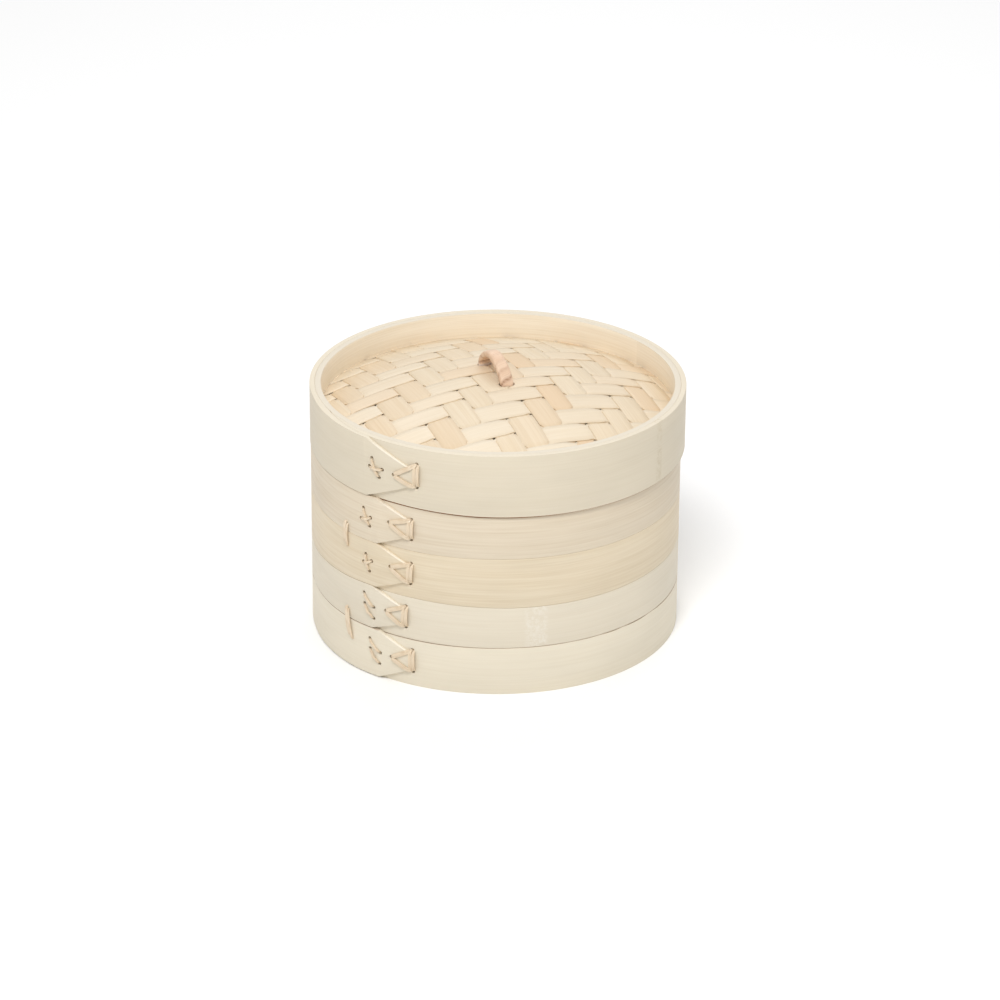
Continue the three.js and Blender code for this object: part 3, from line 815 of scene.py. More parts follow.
def cane(name, pale, deep, line):
    """Peeled rattan: a smooth pinkish skin with fine lines along it and a soft shine."""
    material, tree = new_material(name)
    place = add(tree, "ShaderNodeAttribute", {"attribute_name": "flat"}).outputs["Vector"]
    grain = streaks(tree, place, *CANE_GRAIN, detail=3)
    cloud = add(tree, "ShaderNodeTexNoise", {"Scale": 1 / CANE_CLOUD, "Detail": 2},
                {"Vector": place})
    tone = add(tree, "ShaderNodeMapRange", {"From Min": 0.35, "From Max": 0.68},
               {"Value": cloud.outputs["Fac"]})
    tint = add(tree, "ShaderNodeMix", {"data_type": "RGBA", 6: colour(pale), 7: colour(deep)},
               {0: tone.outputs["Result"]})
    fine = add(tree, "ShaderNodeMapRange", {"From Min": 0.48, "From Max": 0.75, "To Max": 0.6},
               {"Value": grain})
    lined = add(tree, "ShaderNodeMix", {"data_type": "RGBA", 7: colour(line)},
                {0: fine.outputs["Result"], 6: tint.outputs[2]})
    # Painted shade in the creases of the handle's wraps
    crease_shade = add(tree, "ShaderNodeAttribute", {"attribute_name": "crease_shade"})
    crease_shaded = add(tree, "ShaderNodeMix", {"data_type": "RGBA", 7: colour("#96694A")},
                  {0: crease_shade.outputs["Fac"], 6: lined.outputs[2]})
    # Painted highlight on the lower end of the handle's front foot
    foot_highlight = add(tree, "ShaderNodeAttribute", {"attribute_name": "foot_highlight"})
    result = add(tree, "ShaderNodeMix", {"data_type": "RGBA", 7: colour("#F5E6D9")},
                 {0: foot_highlight.outputs["Fac"], 6: crease_shaded.outputs[2]})
    relief = add(tree, "ShaderNodeBump", {"Strength": 0.3, "Distance": CANE_RELIEF},
                 {"Height": grain})
    surface = add(tree, "ShaderNodeBsdfPrincipled", {"Roughness": 0.42, "Specular IOR Level": 0.4},
                  {"Base Color": result.outputs[2], "Normal": relief.outputs["Normal"]})
    add(tree, "ShaderNodeOutputMaterial", {}, {"Surface": surface.outputs["BSDF"]})
    return material


lacing_cane = cane("peeled_cane_lacing", "#ECDCC4", "#E2CEB2", "#C3A47E")
print(lacing_cane.name, "has", len(lacing_cane.node_tree.nodes), "nodes")

# %% [markdown]
# Each strand of cane is a short flat strip that dives into a hole at both ends. A curve with a
# bevel would be quicker, but it can't lie flat on a wall and step down from the tongue. So
# strands are laid out on the flat wall from stations, joined, and bent round it together.

# %% Strands
CANE_THICK, CANE_ROUND, CANE_STEP = 0.8 * MM, 0.3 * MM, 1.1 * MM
# How far a strand is sunk at each distance from its end
DIVE = [(0, -1.9 * MM), (0.35 * MM, -0.7 * MM), (0.8 * MM, 0), (1.4 * MM, 0.2 * MM)]
END_SHARE, END_LENGTH = 0.6, 2 * MM


def strand(start, end, width, heights, bow=0, inside=False):
    """A strand from hole to hole. Heights are above the wall, as (share of the length, height)."""
    (x0, z0), (x1, z1) = start, end
    length = math.hypot(x1 - x0, z1 - z0)
    ends = [gap for gap, _ in DIVE]
    span = length - 2 * ends[-1]
    count = max(2, round(span / CANE_STEP))
    between = [ends[-1] + span * i / count for i in range(1, count)]
    stations = []
    for place in [*ends, *between, *[length - gap for gap in reversed(ends)]]:
        edge = min(place, length - place)
        lift = lane_value(heights, place / length) + lane_value(DIVE, edge)
        half = width / 2 * (END_SHARE + (1 - END_SHARE) * ease(edge / END_LENGTH))
        sway = bow * math.sin(math.pi * place / length)
        faces = (-lift - CANE_THICK, -lift) if inside else (lift, lift + CANE_THICK)
        stations.append(Station(place, *faces, sway - half, sway + half))
    bar = flat_strip("strand", stations)
    round_edges(bar, CANE_ROUND, degrees=50)
    keep_flat(bar)
    settle(bar, (x0, 0, z0), (0, -math.atan2(z1 - z0, x1 - x0), 0))
    return bar


print("strands", round(CANE_THICK / MM, 1), "mm thick")

# %% [markdown]
# The triangle ties each tongue's tip down: two strands fan out from one hole in the tongue and
# step down over its edges, and a double strand crosses the tip. Two stitches sit behind it.

# %% Lace the bands
FAN_WIDTH, FAN_BOW, CROSS_WIDTH, CROSS_APART = 2.3 * MM, 0.2 * MM, 1.7 * MM, 0.9 * MM
STITCH_WIDTH, STITCH_BOWS, STITCH_HUMP = 1.4 * MM, (-0.5 * MM, -0.3 * MM), 0.8 * MM
APEX_BACK, PROUD = 13 * MM, FIT + TONGUE
LACING_BACK, WALL_REACH = 8, 30


def wall_path(radius, angle, shift=0):
    return Spiral([(angle - WALL_REACH, radius), (angle + WALL_REACH, radius)], shift)


def laced(name, strands, spiral):
    lacing = joined(name, strands)
    spiral.bend(lacing)
    smooth(lacing, 45)
    return lacing


cross = [(0, 0), (0.2, 0.7 * TIP), (0.35, TIP), (0.65, TIP), (0.8, 0.7 * TIP), (1, 0)]
flat = [(0, PROUD), (1, PROUD)]
hump = [(0, PROUD), (0.3, PROUD), (0.5, PROUD + STITCH_HUMP), (0.7, PROUD), (1, PROUD)]
for name, band in BANDS.items():
    spiral = wall_path(band["radius"], band["tip"] - LACING_BACK, band["shift"])
    apex, top, bottom, *backs = [
        (spiral.along(angle), height * MM)
        for angle, height in (band["apex"], band["top"], band["bottom"], *band["backs"])]
    thick = TIP + (TONGUE - TIP) * APEX_BACK / band["taper"]
    fan = [(0, thick), (0.7, TIP + 0.2 * MM), (0.86, 0.6 * TIP), (1, 0)]
    strands = [strand(apex, top, FAN_WIDTH, fan, FAN_BOW),
               strand(apex, bottom, FAN_WIDTH, fan, -FAN_BOW)]
    for aside in (-CROSS_APART, CROSS_APART):
        strands.append(strand((top[0] + aside, top[1]), (bottom[0] + aside, bottom[1]),
                              CROSS_WIDTH, cross))
    lacing = laced(name + "_point_cane", strands, spiral)
    stand_in(lacing, band["body"], [name + "_point_lacing"], lacing_cane)
    pairs = [(0, 2), (1, 3)] if band["body"] == "lower_tier" else [(0, 3), (1, 2)]
    for label, (first, last), heights, bow in zip(("upper", "lower"), pairs, (flat, hump),
                                                  STITCH_BOWS):
        bar = strand(backs[first], backs[last], STITCH_WIDTH, heights, bow)
        stitch = laced(f"{name}_{label}_stitch_cane", [bar], spiral)
        stand_in(stitch, band["body"], [f"{name}_{label}_stitch"], lacing_cane)
print(len(BANDS), "lacings and", 2 * len(BANDS), "stitches")

# %% [markdown]
# Three ties in each tier hold the two bands to the inner hoop. Each crosses the seam outside as
# two strands, over the lap where one lies below it, and comes back along the inside of the hoop.

# %% Side of a tie
# Strands of a tie: place to the side, width, and how far they stop short below and above
TIE_OUTSIDE = [(-0.6 * MM, 2.0 * MM, 1.6 * MM, 0), (1.0 * MM, 1.2 * MM, 0, 1.1 * MM)]
TIE_INSIDE = [(0, 3.2 * MM, 0, 0)]
TIE_BOW = 0.3 * MM


def lap_height(band, angle):
    outer = band_lanes(band)[1]
    return lane_value(outer, angle + (360 if angle < band["tip"] else 0)) - band["radius"]


def tie_side(tier, angle, reach, seam, inside):
    below, above, slant = reach
    spiral = wall_path(HOOP_OUTER - HOOP_THICK if inside else TIER_RADIUS, angle)
    place, aslant = spiral.along(angle), slant * TIER_RADIUS
    wall = 0 if inside else lap_height(BANDS[tier + "_upper_band"], angle)
    arch = [(0, wall), (0.3, wall + 0.5 * MM), (0.6, wall + 0.6 * MM), (1, wall)]
    bars = []
    for aside, wide, lower, upper in TIE_INSIDE if inside else TIE_OUTSIDE:
        start = (place + aslant + aside, seam - below + lower)
        end = (place - aslant + aside, seam + above - upper)
        bars.append(strand(start, end, wide, arch, TIE_BOW, inside))
    return laced("side", bars, spiral)


print("ties bow by", round(TIE_BOW / MM, 1), "mm")

# %% [markdown]
# The photo shows the ties at the left, and one faintly at the right. The third, at the back, is
# needed to hold the bands. The lower tier's left tie is longer than the others and slanted.

# %% Tie the bands
TIE_ANGLES = {"lower_tier": (-48.9, 100, 205), "upper_tier": (-50, 100, 205)}
# How far a tie reaches below and above the seam, and the angle that it leans by
PLAIN_TIE = (8.8 * MM, 6.4 * MM, 0)
SLANTED_TIE = (10.7 * MM, 8.2 * MM, math.radians(0.9))
for tier in TIERS:
    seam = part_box(tier + "_upper_band")[0].z
    for number, angle in enumerate(TIE_ANGLES[tier], 1):
        reach = SLANTED_TIE if tier == "lower_tier" and number == 1 else PLAIN_TIE
        sides = [tie_side(tier, angle, reach, seam, inside) for inside in (False, True)]
        tie = joined(f"{tier}_tie_{number}_cane", sides)
        stand_in(tie, tier, [f"{tier}_tie_{number}"], lacing_cane)
print(sum(len(angles) for angles in TIE_ANGLES.values()), "ties")

# %% [markdown]
# ## Handle
# The handle is a flat cane loop wrapped with two strips, so two grooves wind along it, and years
# of hands have worn them shallow at the top. Its path is a pointed arch above the mats that leans
# to the back, and a straight run with two round corners below them. A closed path starts at its
# last point, which is the middle of the bottom.

# %% Path of the handle
HANDLE_TURN = math.radians(-68)
HANDLE_MIDDLE = Vector((-1.1 * MM, 2.7 * MM))
HANDLE_PLACE = Vector((LID_SHIFT + HANDLE_MIDDLE.x, HANDLE_MIDDLE.y, 138.494 * MM))
HANDLE_HALF = 15.7 * MM
ARCH_BASE, ARCH_RISE, ARCH_POWER, ARCH_LEAN = 1.95 * MM, 10.1 * MM, 1.65, 2.4 * MM
LOOP_BOTTOM, LOOP_BEND = -5.255 * MM, 3.305 * MM


def loop_points():
    corner, level = HANDLE_HALF - LOOP_BEND, LOOP_BOTTOM + LOOP_BEND
    arcs = [(corner, level, LOOP_BEND, LOOP_BEND, -90, 0),
            (0, ARCH_BASE, HANDLE_HALF, ARCH_RISE, 0, 180),
            (-corner, level, LOOP_BEND, LOOP_BEND, 180, 270)]
    outline = []
    for x, y, wide, high, first, last in arcs:
        for degrees in range(first, last + 1, 6):
            turn = math.radians(degrees)
            share = (math.cos(turn), math.sin(turn))
            lean = 0
            if last == 180:
                share = [math.copysign(abs(part) ** (2 / ARCH_POWER), part) for part in share]
                lean = ARCH_LEAN * share[1]
            outline.append(Vector((x + wide * share[0] - lean, y + high * share[1], 0)))
    return outline + [Vector((0, LOOP_BOTTOM, 0))]


points = loop_points()
levels = [(0, LOOP_BOTTOM)]
for before, after in zip(points[-1:] + points, points):
    levels.append((levels[-1][0] + (after - before).length, after.y))
length = levels[-1][0]
print("handle loop", round(length / MM), "mm long")

# %% [markdown]
# The loop starts as a long straight cylinder without ends. Its long edges are cut into short
# rows, fine enough for the grooves between the wraps.

# %% Bar of the handle
WRAP, WRAP_ROWS, HANDLE_SIDES = 5.6 * MM, 20, 36
wraps = round(length / WRAP)
bpy.ops.object.select_all(action="DESELECT")
bpy.ops.mesh.primitive_cylinder_add(
    vertices=HANDLE_SIDES, radius=1, depth=length, end_fill_type="NOTHING",
    location=(length / 2, 0, 0), rotation=(0, math.pi / 2, 0))
bpy.ops.object.transform_apply(location=True, rotation=True, scale=True)
handle = bpy.context.object
handle.name = "lid_handle_cane"
bpy.ops.object.mode_set(mode="EDIT")
choose(handle, "EDGE", lambda edge: abs(edge.verts[0].co.x - edge.verts[1].co.x) > length / 2)
bpy.ops.mesh.subdivide(number_cuts=wraps * WRAP_ROWS - 1)
bpy.ops.object.mode_set(mode="OBJECT")
print("handle has", wraps, "wraps and", len(handle.data.polygons), "faces")

# %% [markdown]
# The bar gets its flat section and its grooves while it is straight, where a groove is only a
# matter of the place along it and the angle round it. Winding two strips round a bent core would
# give the same look with many more faces. The legs flare a little towards the front foot, whose
# lower end gets a painted highlight.

# %% Wrap the handle
HANDLE_THICK, HANDLE_WIDE, CORNERS = 4.2 * MM, 7.3 * MM, 0.6
STRANDS, WRAP_SHIFT, WRAP_ROUND = 2, 0.3, 9.5 * MM
GROOVE, STEP_UP = 0.55 * MM, 0.4 * MM
WORN, WORN_FROM, WORN_RISE = 0.8, 3 * MM, 8 * MM
FOOT_HIGHLIGHT, FOOT_HIGHLIGHT_BELOW, FOOT_HIGHLIGHT_FADE = 0.8, 3.6 * MM, 2 * MM
FLARE, FLARE_RISE = 0.5 * MM, 6 * MM


def rounded(share):
    return math.copysign(abs(share) ** CORNERS, share)


flat, crease_shade, foot_highlight = [], [], []
for vertex in handle.data.vertices:
    turn = STRANDS * math.atan2(vertex.co.z, vertex.co.y) / (2 * math.pi)
    wound = vertex.co.x * wraps / length - turn + WRAP_SHIFT
    part = wound % 1
    level = lane_value(levels, vertex.co.x)
    front = 0.5 + 0.5 * math.sin(2 * math.pi * vertex.co.x / length)
    kept = 1 - WORN * ease((level - WORN_FROM) / WORN_RISE)
    sunk = kept * (GROOVE * abs(2 * part - 1) ** 6 + STEP_UP * (1 - part))
    # Painted shade in the creases, less where the grooves are worn shallow
    crease_shade.append(kept * abs(2 * part - 1) ** 4)
    # Painted highlight low on the front foot
    foot_highlight.append(FOOT_HIGHLIGHT * front * ease((FOOT_HIGHLIGHT_BELOW - level) / FOOT_HIGHLIGHT_FADE) * (1 - crease_shade[-1]))
    flat += [WRAP_ROUND * turn + APART * math.floor(wound), part * WRAP, 0]
    flare = front * FLARE * (1 - ease((level - ARCH_BASE) / FLARE_RISE))
    vertex.co.y = rounded(vertex.co.y) * (HANDLE_THICK / 2 - sunk)
    vertex.co.z = rounded(vertex.co.z) * ((HANDLE_WIDE + flare) / 2 - 0.2 * sunk)
store(handle, "flat", flat, "FLOAT_VECTOR")
store(handle, "crease_shade", crease_shade)
store(handle, "foot_highlight", foot_highlight)
print("deepest crease", round(max(crease_shade), 2), "and brightest_painted place", round(max(foot_highlight), 2))

# %% [markdown]
# The wrapped bar is bent round the loop while that lies on the ground plane. It is then stood up
# and turned to its place, and its two ends are merged.

# %% Bend the handle
END_MERGE = 0.02 * MM
bend_along(handle, points, closed=True)
settle(handle, HANDLE_PLACE, (math.pi / 2, 0, HANDLE_TURN))
bpy.ops.object.mode_set(mode="EDIT")
bpy.ops.mesh.select_all(action="SELECT")
bpy.ops.mesh.remove_doubles(threshold=END_MERGE)
bpy.ops.mesh.normals_make_consistent(inside=False)
bpy.ops.object.mode_set(mode="OBJECT")
smooth(handle, 60)
handle_cane = cane("peeled_cane_handle", "#EBCFB4", "#DFBD9F", "#BF9577")
stand_in(handle, "handle", ["lid_handle"], handle_cane)
print("handle crest at", round(max(v.co.z for v in handle.data.vertices) / MM, 1), "mm")

# %% [markdown]
# ## Woven mats
# The top of the lid is woven of wide strips and sprung into a dome. A bump pattern would look
# flat from the side, so each strip is modelled on its own. The gaps between the strips of one
# direction are numbered lines, and a strip has the number of the gap before it.

# %% Dome and gaps
DOME_RISE, DOME_RADIUS, MAT_REACH = 17 * MM, 94.8 * MM, 97.4 * MM
SPARE_GAPS = 9


def dome(radius):
    return DOME_RISE * max(0, 1 - (radius / DOME_RADIUS) ** 2)


def gap_lines(first, places, pitch):
    """Places of the gaps between strips by number: those given, and even steps beyond them."""
    last = first + len(places) - 1
    gaps = {first + i: place * MM for i, place in enumerate(places)}
    for step in range(1, SPARE_GAPS + 1):
        gaps[first - step] = (places[0] - step * pitch) * MM
        gaps[last + step] = (places[-1] + step * pitch) * MM
    return gaps


def cell_at(gaps, place):
    return max(number for number, gap in gaps.items() if gap <= place)


print("mats rise", round(dome(0) / MM, 1), "mm")

# %% [markdown]
# Where two strips cross, their numbers say which one lies over the other. A strip bends from one
# height to the next near a gap. A wide strip also draws its edges back where it comes up, which
# leaves the small dark holes that the photo shows.

# %% Over and under
BEND, DRAW_REACH = 2.2 * MM, 6 * MM


def weave(gaps, place, over, slip):
    """Height from -1 to 1 across the other strips. A strip bends at a gap, moved by slip towards
    the strip that it leaves. With more slip it dives sooner and leaves a dark slit."""
    cell = cell_at(gaps, place)
    here = over(cell)
    for gap, there in ((gaps[cell], over(cell - 1)), (gaps[cell + 1], over(cell + 1))):
        reach = (abs(place - gap) + (slip if here < there else -slip)) / BEND
        if here != there and reach < 1:
            return there + (here - there) * ease(0.5 + 0.5 * reach)
    return here


def drawn_back(gaps, place, over):
    """Share by which a strip's edges draw back towards the right end of a float."""
    cell = cell_at(gaps, place)
    if over(cell) < 0 or over(cell - 1) > 0:
        return 0
    return ease(1 - (place - gaps[cell]) / DRAW_REACH)


print("strips bend within", round(BEND / MM, 1), "mm of a gap")

# %% [markdown]
# The handle's legs pass through the mats, with a little room to rock. Each slot is a cube with
# round corners that is taken away from the strips it meets.

# %% Slots for the legs
SLOT_PLAY, SLOT_DEEP, SLOT_CORNER, SLOT_INWARD = 1.2 * MM, 16 * MM, 2.2 * MM, 0.3 * MM
HANDLE_ALONG = HANDLE_HALF * Vector((math.cos(HANDLE_TURN), math.sin(HANDLE_TURN), 0))
HANDLE_FEET = [HANDLE_MIDDLE + end * HANDLE_ALONG.to_2d() for end in (-1, 1)]


def slot_legs(strip, wide):
    for end in (-1, 1):
        bpy.ops.object.select_all(action="DESELECT")
        bpy.ops.mesh.primitive_cube_add(size=1)
        tool = bpy.context.object
        bpy.ops.object.mode_set(mode="EDIT")
        bpy.ops.transform.resize(value=(HANDLE_THICK + SLOT_PLAY, wide, SLOT_DEEP))
        choose(tool, "EDGE",
               lambda edge: abs(edge.verts[0].co.z - edge.verts[1].co.z) > SLOT_DEEP / 2)
        bpy.ops.mesh.bevel(offset=SLOT_CORNER, segments=6, affect="EDGES")
        bpy.ops.object.mode_set(mode="OBJECT")
        leg = HANDLE_PLACE + end * (1 - SLOT_INWARD / HANDLE_HALF) * HANDLE_ALONG
        settle(tool, leg, (0, 0, HANDLE_TURN))
        cut_away(strip, tool)


print("legs", round(2 * HANDLE_HALF / MM, 1), "mm apart")

# %% [markdown]
# A strip of the mat is a grid along its direction. Its rows run out to the circle of the mat, and
# its height follows the dome and rises and sinks over the strips it crosses. A strip narrows a
# little where it dives.

# %% Lay a strip
CROWN = 0.06 * MM


def directions(run):
    along = Vector((math.cos(run["turn"]), math.sin(run["turn"])))
    return along, Vector((-along.y, along.x))


def lay_strip(grid, number, strip, cross, centre, half, lean):
    (along, side), (_, other) = directions(strip), directions(cross)

    def over(cell):
        return strip["sign"] * strip["rule"](number + cell)

    for vertex in grid.data.vertices:
        across = centre + vertex.co.y * half
        run = vertex.co.x * math.sqrt(MAT_REACH ** 2 - across ** 2)
        phase = ((along * run).dot(other) - cross["gaps"][0]) / cross["pitch"] + number - 1
        sway = strip["sway"] * math.sin(math.pi / 2 * phase)
        point = along * run + side * (across + lean * run + sway)
        lift = weave(cross["gaps"], point.dot(other), over, strip["slip"])
        point -= side * vertex.co.y * strip["pinch"] * (1 - lift * lift)
        if strip["draw"]:
            drawn = drawn_back(cross["gaps"], point.dot(other), over)
            point -= side * vertex.co.y * strip["draw"][vertex.co.y > 0] * drawn
        crown = CROWN * vertex.co.y ** 2
        height = strip["mid"] + dome(point.length) + strip["wave"] * lift - crown
        vertex.co = (point.x + LID_SHIFT, point.y, height)


print("strips crowned by", round(CROWN / MM, 2), "mm")

# %% [markdown]
# Every strip has its own grain and tone, and the mat is painted a little paler at the front left,
# a painted pool of light from the lamp there. These are stored on the points of the strip.

# %% Grain, tone and painted light of a strip
STRIP_GRAIN, STRIP_RING = 0.41, 0.07
PAINTED_LIGHT_SIDE, PAINTED_LIGHT_REACH = Vector((-0.6, -0.8)), 80 * MM


def mark_strip(grid, number, strip, shade):
    along, side = directions(strip)
    flat, pale = [], []
    for vertex in grid.data.vertices:
        place = Vector((vertex.co.x - LID_SHIFT, vertex.co.y))
        flat += [place.dot(along) + STRIP_GRAIN * number, STRIP_RING * number, place.dot(side)]
        # Painted light: paler towards the front left, under the key lamp
        pale.append(strip["painted_light"] * ease(place.dot(PAINTED_LIGHT_SIDE) / PAINTED_LIGHT_REACH))
    store(grid, "cut_and_highlight", pale)
    store(grid, "flat", flat, "FLOAT_VECTOR")
    store(grid, "tone", [strip["shades"].get(number, shade)] * len(pale))


print("painted_light_fades over", round(PAINTED_LIGHT_REACH / MM), "mm")

# %% [markdown]
# A strip fills the space between its two gaps, less a slit, and leans a little by chance. The
# chance comes from a seed, so that every run gives the same mat. A layer is all the strips of one
# direction, joined.

# %% Weave a layer
EDGE_MARGIN, NARROWEST, STRIP_ROUND = 1.5 * MM, 3 * MM, 0.1 * MM
WEAVE_STEP, FEWEST_COLUMNS, ROWS = 1.2 * MM, 8, 4
LEAN, SHADE = 0.3, 0.2


def woven_strip(number, strip, cross, rng):
    limit = MAT_REACH - EDGE_MARGIN
    low, high = max(strip["gaps"][number], -limit), min(strip["gaps"][number + 1], limit)
    if high - low < NARROWEST:
        return None
    centre, half = (low + high) / 2, (high - low - rng.uniform(*strip["slit"])) / 2
    lean = math.radians(rng.uniform(-LEAN, LEAN))
    reach = math.sqrt(MAT_REACH ** 2 - centre ** 2)
    columns = max(FEWEST_COLUMNS, round(2 * reach / WEAVE_STEP))
    bpy.ops.object.select_all(action="DESELECT")
    bpy.ops.mesh.primitive_grid_add(x_subdivisions=columns, y_subdivisions=ROWS, size=2)
    grid = bpy.context.object
    lay_strip(grid, number, strip, cross, centre, half, lean)
    modify(grid, "SOLIDIFY", thickness=strip["thick"], offset=0)
    side = directions(strip)[1]
    if min(abs(foot.dot(side) - centre) for foot in HANDLE_FEET) < half + strip["slot"]:
        slot_legs(grid, strip["slot"])
    mark_strip(grid, number, strip, rng.uniform(0, SHADE))
    return grid


def woven_layer(name, strip, cross, seed):
    rng = random.Random(seed)
    numbers = range(-SPARE_GAPS, SPARE_GAPS)
    strips = [woven_strip(number, strip, cross, rng) for number in numbers]
    layer = joined(name, [item for item in strips if item])
    round_edges(layer, STRIP_ROUND, segments=1, degrees=50)
    smooth(layer, 50)
    return layer


print("strips are laid in steps of", round(WEAVE_STEP / MM, 1), "mm")

# %% [markdown]
# The lid's mat is a two-over, two-under twill. Its directions and the gaps between its strips
# were read from the photo, and some of its strips are browner. The strips that run to the right
# are paler than those that run to the back, so the two layers are two pieces.

# %% Weave the top mat
def twill(total):
    return 1 if (total + 2) % 4 < 2 else -1


PITCH = 13.1
PALE_GAPS = (-73.4, -59.2, -45.8, -31.2, -18.0, -7.0, 6.2, 18.7, 33.2, 44.4)
TAN_GAPS = (-76.4, -64.6, -51.4, -39.6, -25.6, -13.5, -0.5, 14.0, 26.8, 40.0, 54.0, 68.3, 80.1)
mat_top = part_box("lid_woven_mat")[1].z - DOME_RISE
twill_plan = dict(rule=twill, mid=mat_top - 0.75 * MM, wave=0.38 * MM, thick=0.5 * MM,
                  pitch=PITCH * MM, sway=0.15 * MM)
pale_run = dict(twill_plan, sign=-1, turn=math.radians(22.1), gaps=gap_lines(-6, PALE_GAPS, PITCH),
                draw=(0.8 * MM, 1.3 * MM), slit=(0.02 * MM, 0.1 * MM), slip=0.1 * MM,
                pinch=0.2 * MM, slot=8.6 * MM, painted_light=0.2, shades={-2: 0.25, 0: 0.45, 1: 0.2})
tan_run = dict(twill_plan, sign=1, turn=math.radians(112.5), gaps=gap_lines(-6, TAN_GAPS, PITCH),
               draw=None, slit=(0.05 * MM, 0.2 * MM), slip=0.7 * MM,
               pinch=1.7 * MM, slot=8.5 * MM, painted_light=0,
               shades={-6: 0.45, -5: 0, -4: 0, -3: 0, -2: 0.7, -1: 0.35, 2: 0, 3: 0.3, 4: 0.2,
                       5: 0.25})
pale_mat = woven_layer("lid_mat_pale_strips", pale_run, tan_run, 3)
tan_mat = woven_layer("lid_mat_tan_strips", tan_run, pale_run, 4)
mat_pale = bamboo("bamboo_mat_pale", ("#E6D9C3", "#DFCFB5", "#CCB693"), (0.1, 0.2, 0.3), streak=0.3)
mat_tan = bamboo("bamboo_mat_tan", ("#E6D7BF", "#DBC8AA", "#C6AB85"), (0.5, 0.2, 0.7), streak=0.3)
stand_in(pale_mat, "lid", ["lid_woven_mat"], mat_pale)
stand_in(tan_mat, "lid", ["lid_woven_mat"], mat_tan)
print("top mat:", len(pale_mat.data.polygons), "and", len(tan_mat.data.polygons), "faces")

# %% [markdown]
# The lining below is a plain weave of narrower strips, one over and one under. It only shows from
# inside the lid and through the slits, so its gaps are even.

# %% Weave the lining
def plain(total):
    return 1 if total % 2 else -1


LINING_PITCH = 11.2
lining_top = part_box("lid_lining_mat")[1].z - DOME_RISE
lining_plan = dict(rule=plain, mid=lining_top - 0.8 * MM, wave=0.38 * MM, thick=0.6 * MM,
                   pitch=LINING_PITCH * MM, draw=None, slit=(0.3 * MM, 1.0 * MM), sway=0,
                   slip=0.3 * MM, pinch=0, slot=9.4 * MM, painted_light=0, shades={})
lining_a = dict(lining_plan, sign=1, turn=math.radians(20), gaps=gap_lines(0, (0,), LINING_PITCH))
lining_b = dict(lining_plan, sign=-1, turn=math.radians(110), gaps=gap_lines(0, (3,), LINING_PITCH))
lining_mat = joined("lid_lining_strips", [woven_layer("lining", lining_a, lining_b, 5),
                                          woven_layer("lining", lining_b, lining_a, 6)])
mat_lining = bamboo("bamboo_lining", ("#E6D6B6", "#D8C294", "#BC9E6C"), (0.3, 0.6, 0.1), streak=0.6)
stand_in(lining_mat, "lid", ["lid_lining_mat"], mat_lining)
print("lining:", len(lining_mat.data.polygons), "faces")

# %% [markdown]
# ## Camera
# The camera was solved from the outline of the tiers and the lid's rim in the photo: a long lens
# from far away, a little above the object. The focal length is given in sensor widths.

# %% Camera
CAMERA_UP, CAMERA_ROLL = math.radians(24.608), math.radians(0.437)
CAMERA_AIM, CAMERA_FAR = Vector((2.49 * MM, 0, 67.2 * MM)), 2.2659
SENSOR, FOCAL = 36, 4.164
camera_data = bpy.data.cameras.new("camera")
camera = bpy.data.objects.new("camera", camera_data)
scene.collection.objects.link(camera)
scene.camera = camera
away = Vector((0, -math.cos(CAMERA_UP), math.sin(CAMERA_UP)))
camera.location = CAMERA_AIM + away * CAMERA_FAR
camera_data.sensor_width = SENSOR
camera_data.lens = FOCAL * SENSOR
camera_data.clip_start, camera_data.clip_end = 0.1, 20
camera.rotation_euler = (math.pi / 2 - CAMERA_UP, 0, 0)
camera.rotation_euler.rotate_axis("Z", CAMERA_ROLL)
print("camera", CAMERA_FAR, "m away with a lens of", round(camera_data.lens), "mm")

# %% [markdown]
# ## Light and floor
# The photo was taken on a white table under a large soft lamp high at the front left. Weaker
# lamps fill the right, the left and the inside of the rim at the back.

# %% Lamps
# Each lamp's place, the point that it faces, its two sides and its watts
LAMPS = {
    "key": ((-0.224, -1.27, 1.78), (0, 0, 0.06), (0.6, 0.6), 22),
    "fill": ((1.6, -1.2, 1.3), (0, 0, 0.06), (1.4, 1.4), 5.2),
    "left_fill": ((-1.8, -0.6, 1.0), (0, 0, 0.06), (1.4, 1.4), 2.5),
    "top_back": ((0.1, 1.3, 1.5), (0, 0, 0.1), (1.6, 0.8), 10),
}
for name, (place, target, (size, size_y), watts) in LAMPS.items():
    lamp = bpy.data.lights.new(name, "AREA")
    lamp.shape, lamp.size, lamp.size_y, lamp.energy = "RECTANGLE", size, size_y, watts
    light = bpy.data.objects.new(name, lamp)
    light.location = place
    light.rotation_euler = (Vector(target) - Vector(place)).to_track_quat("-Z", "Y").to_euler()
    scene.collection.objects.link(light)
print("lamps:", ", ".join(LAMPS))

# %% [markdown]
# The background is white. That could be had with more light, but then the object would wash out.
# So the world is white only for the rays that look at it, from the camera, off a gloss or through
# glass, and lights the object more softly.

# %% White world
WHITE = colour("#FFFFFF")
WORLD_LIGHT = 0.5


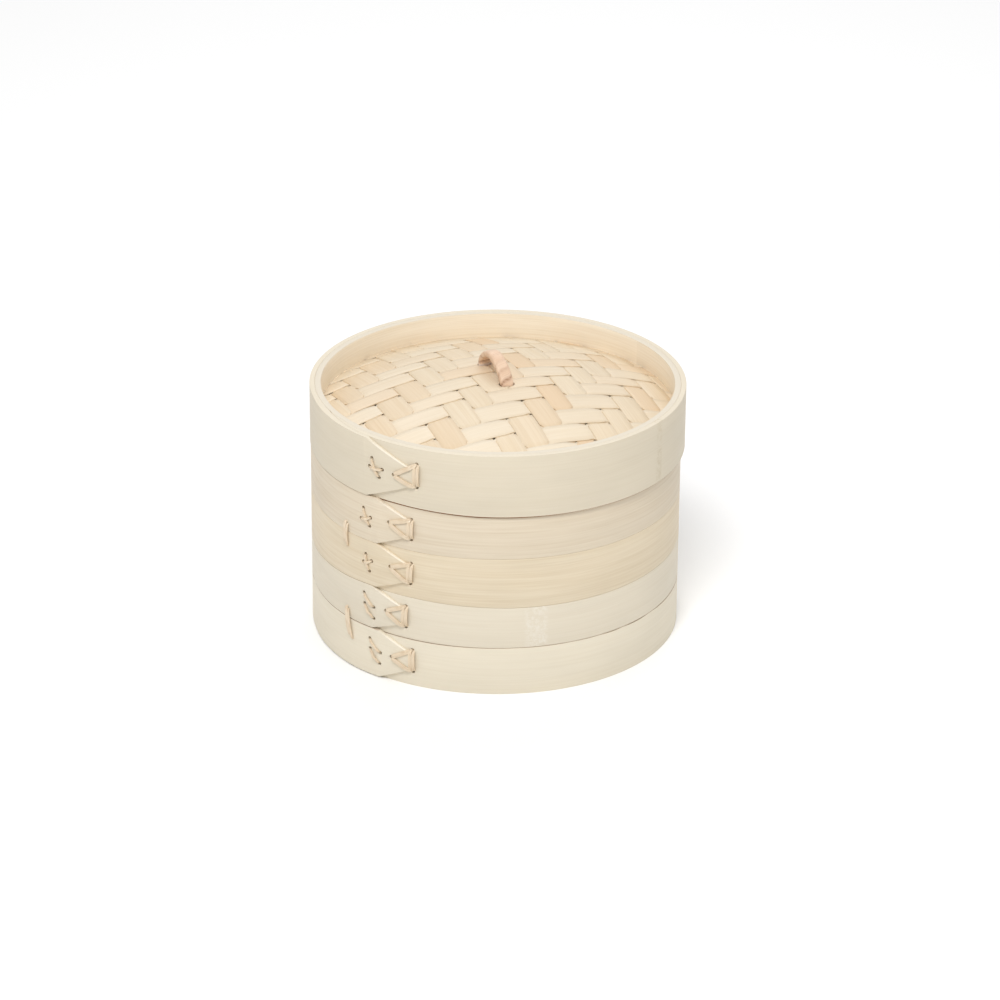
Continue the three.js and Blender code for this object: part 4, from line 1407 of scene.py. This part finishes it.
def looked_at(tree):
    """1 for the rays that see the background, and 0 for those that only carry light."""
    rays = add(tree, "ShaderNodeLightPath", {})
    seen = rays.outputs["Is Camera Ray"]
    for kind in ("Is Glossy Ray", "Is Transmission Ray"):
        seen = add(tree, "ShaderNodeMath", {"operation": "MAXIMUM"},
                   {0: seen, 1: rays.outputs[kind]}).outputs[0]
    return seen


scene.world = bpy.data.worlds.new("studio")
scene.world.use_nodes = True
tree = scene.world.node_tree
tree.nodes.clear()
white = add(tree, "ShaderNodeBackground", {"Color": WHITE, "Strength": 1})
soft = add(tree, "ShaderNodeBackground", {"Color": WHITE, "Strength": WORLD_LIGHT})
mixed = add(tree, "ShaderNodeMixShader", {},
            {0: looked_at(tree), 1: soft.outputs[0], 2: white.outputs[0]})
add(tree, "ShaderNodeOutputWorld", {}, {"Surface": mixed.outputs[0]})
scene.view_settings.view_transform = "Standard"
print("world lights with a strength of", WORLD_LIGHT)

# %% [markdown]
# The table is painted matt white. Seen by the camera it is a pure white that still keeps the
# object's soft shadow, and other rays meet a plain pale floor.

# %% Floor
FLOOR_SIZE, FLOOR_GLOW = 12, 0.01
bpy.ops.object.select_all(action="DESELECT")
bpy.ops.mesh.primitive_plane_add(size=FLOOR_SIZE)
floor = bpy.context.object
floor.name = "floor"
material, tree = new_material("white_table")
matte = add(tree, "ShaderNodeBsdfDiffuse", {"Color": colour("#F2F2F0")})
paint = add(tree, "ShaderNodeBsdfDiffuse", {"Color": WHITE})
glow = add(tree, "ShaderNodeEmission", {"Color": WHITE, "Strength": FLOOR_GLOW})
bright = add(tree, "ShaderNodeAddShader", {}, {0: paint.outputs[0], 1: glow.outputs[0]})
mixed = add(tree, "ShaderNodeMixShader", {},
            {0: looked_at(tree), 1: matte.outputs[0], 2: bright.outputs[0]})
add(tree, "ShaderNodeOutputMaterial", {}, {"Surface": mixed.outputs[0]})
floor.data.materials.append(material)
floor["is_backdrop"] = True
print("floor", FLOOR_SIZE, "m wide")

# %% [markdown]
# ## Finish
# The bounds of the dressed object are found.

# %% Finish
low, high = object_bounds()
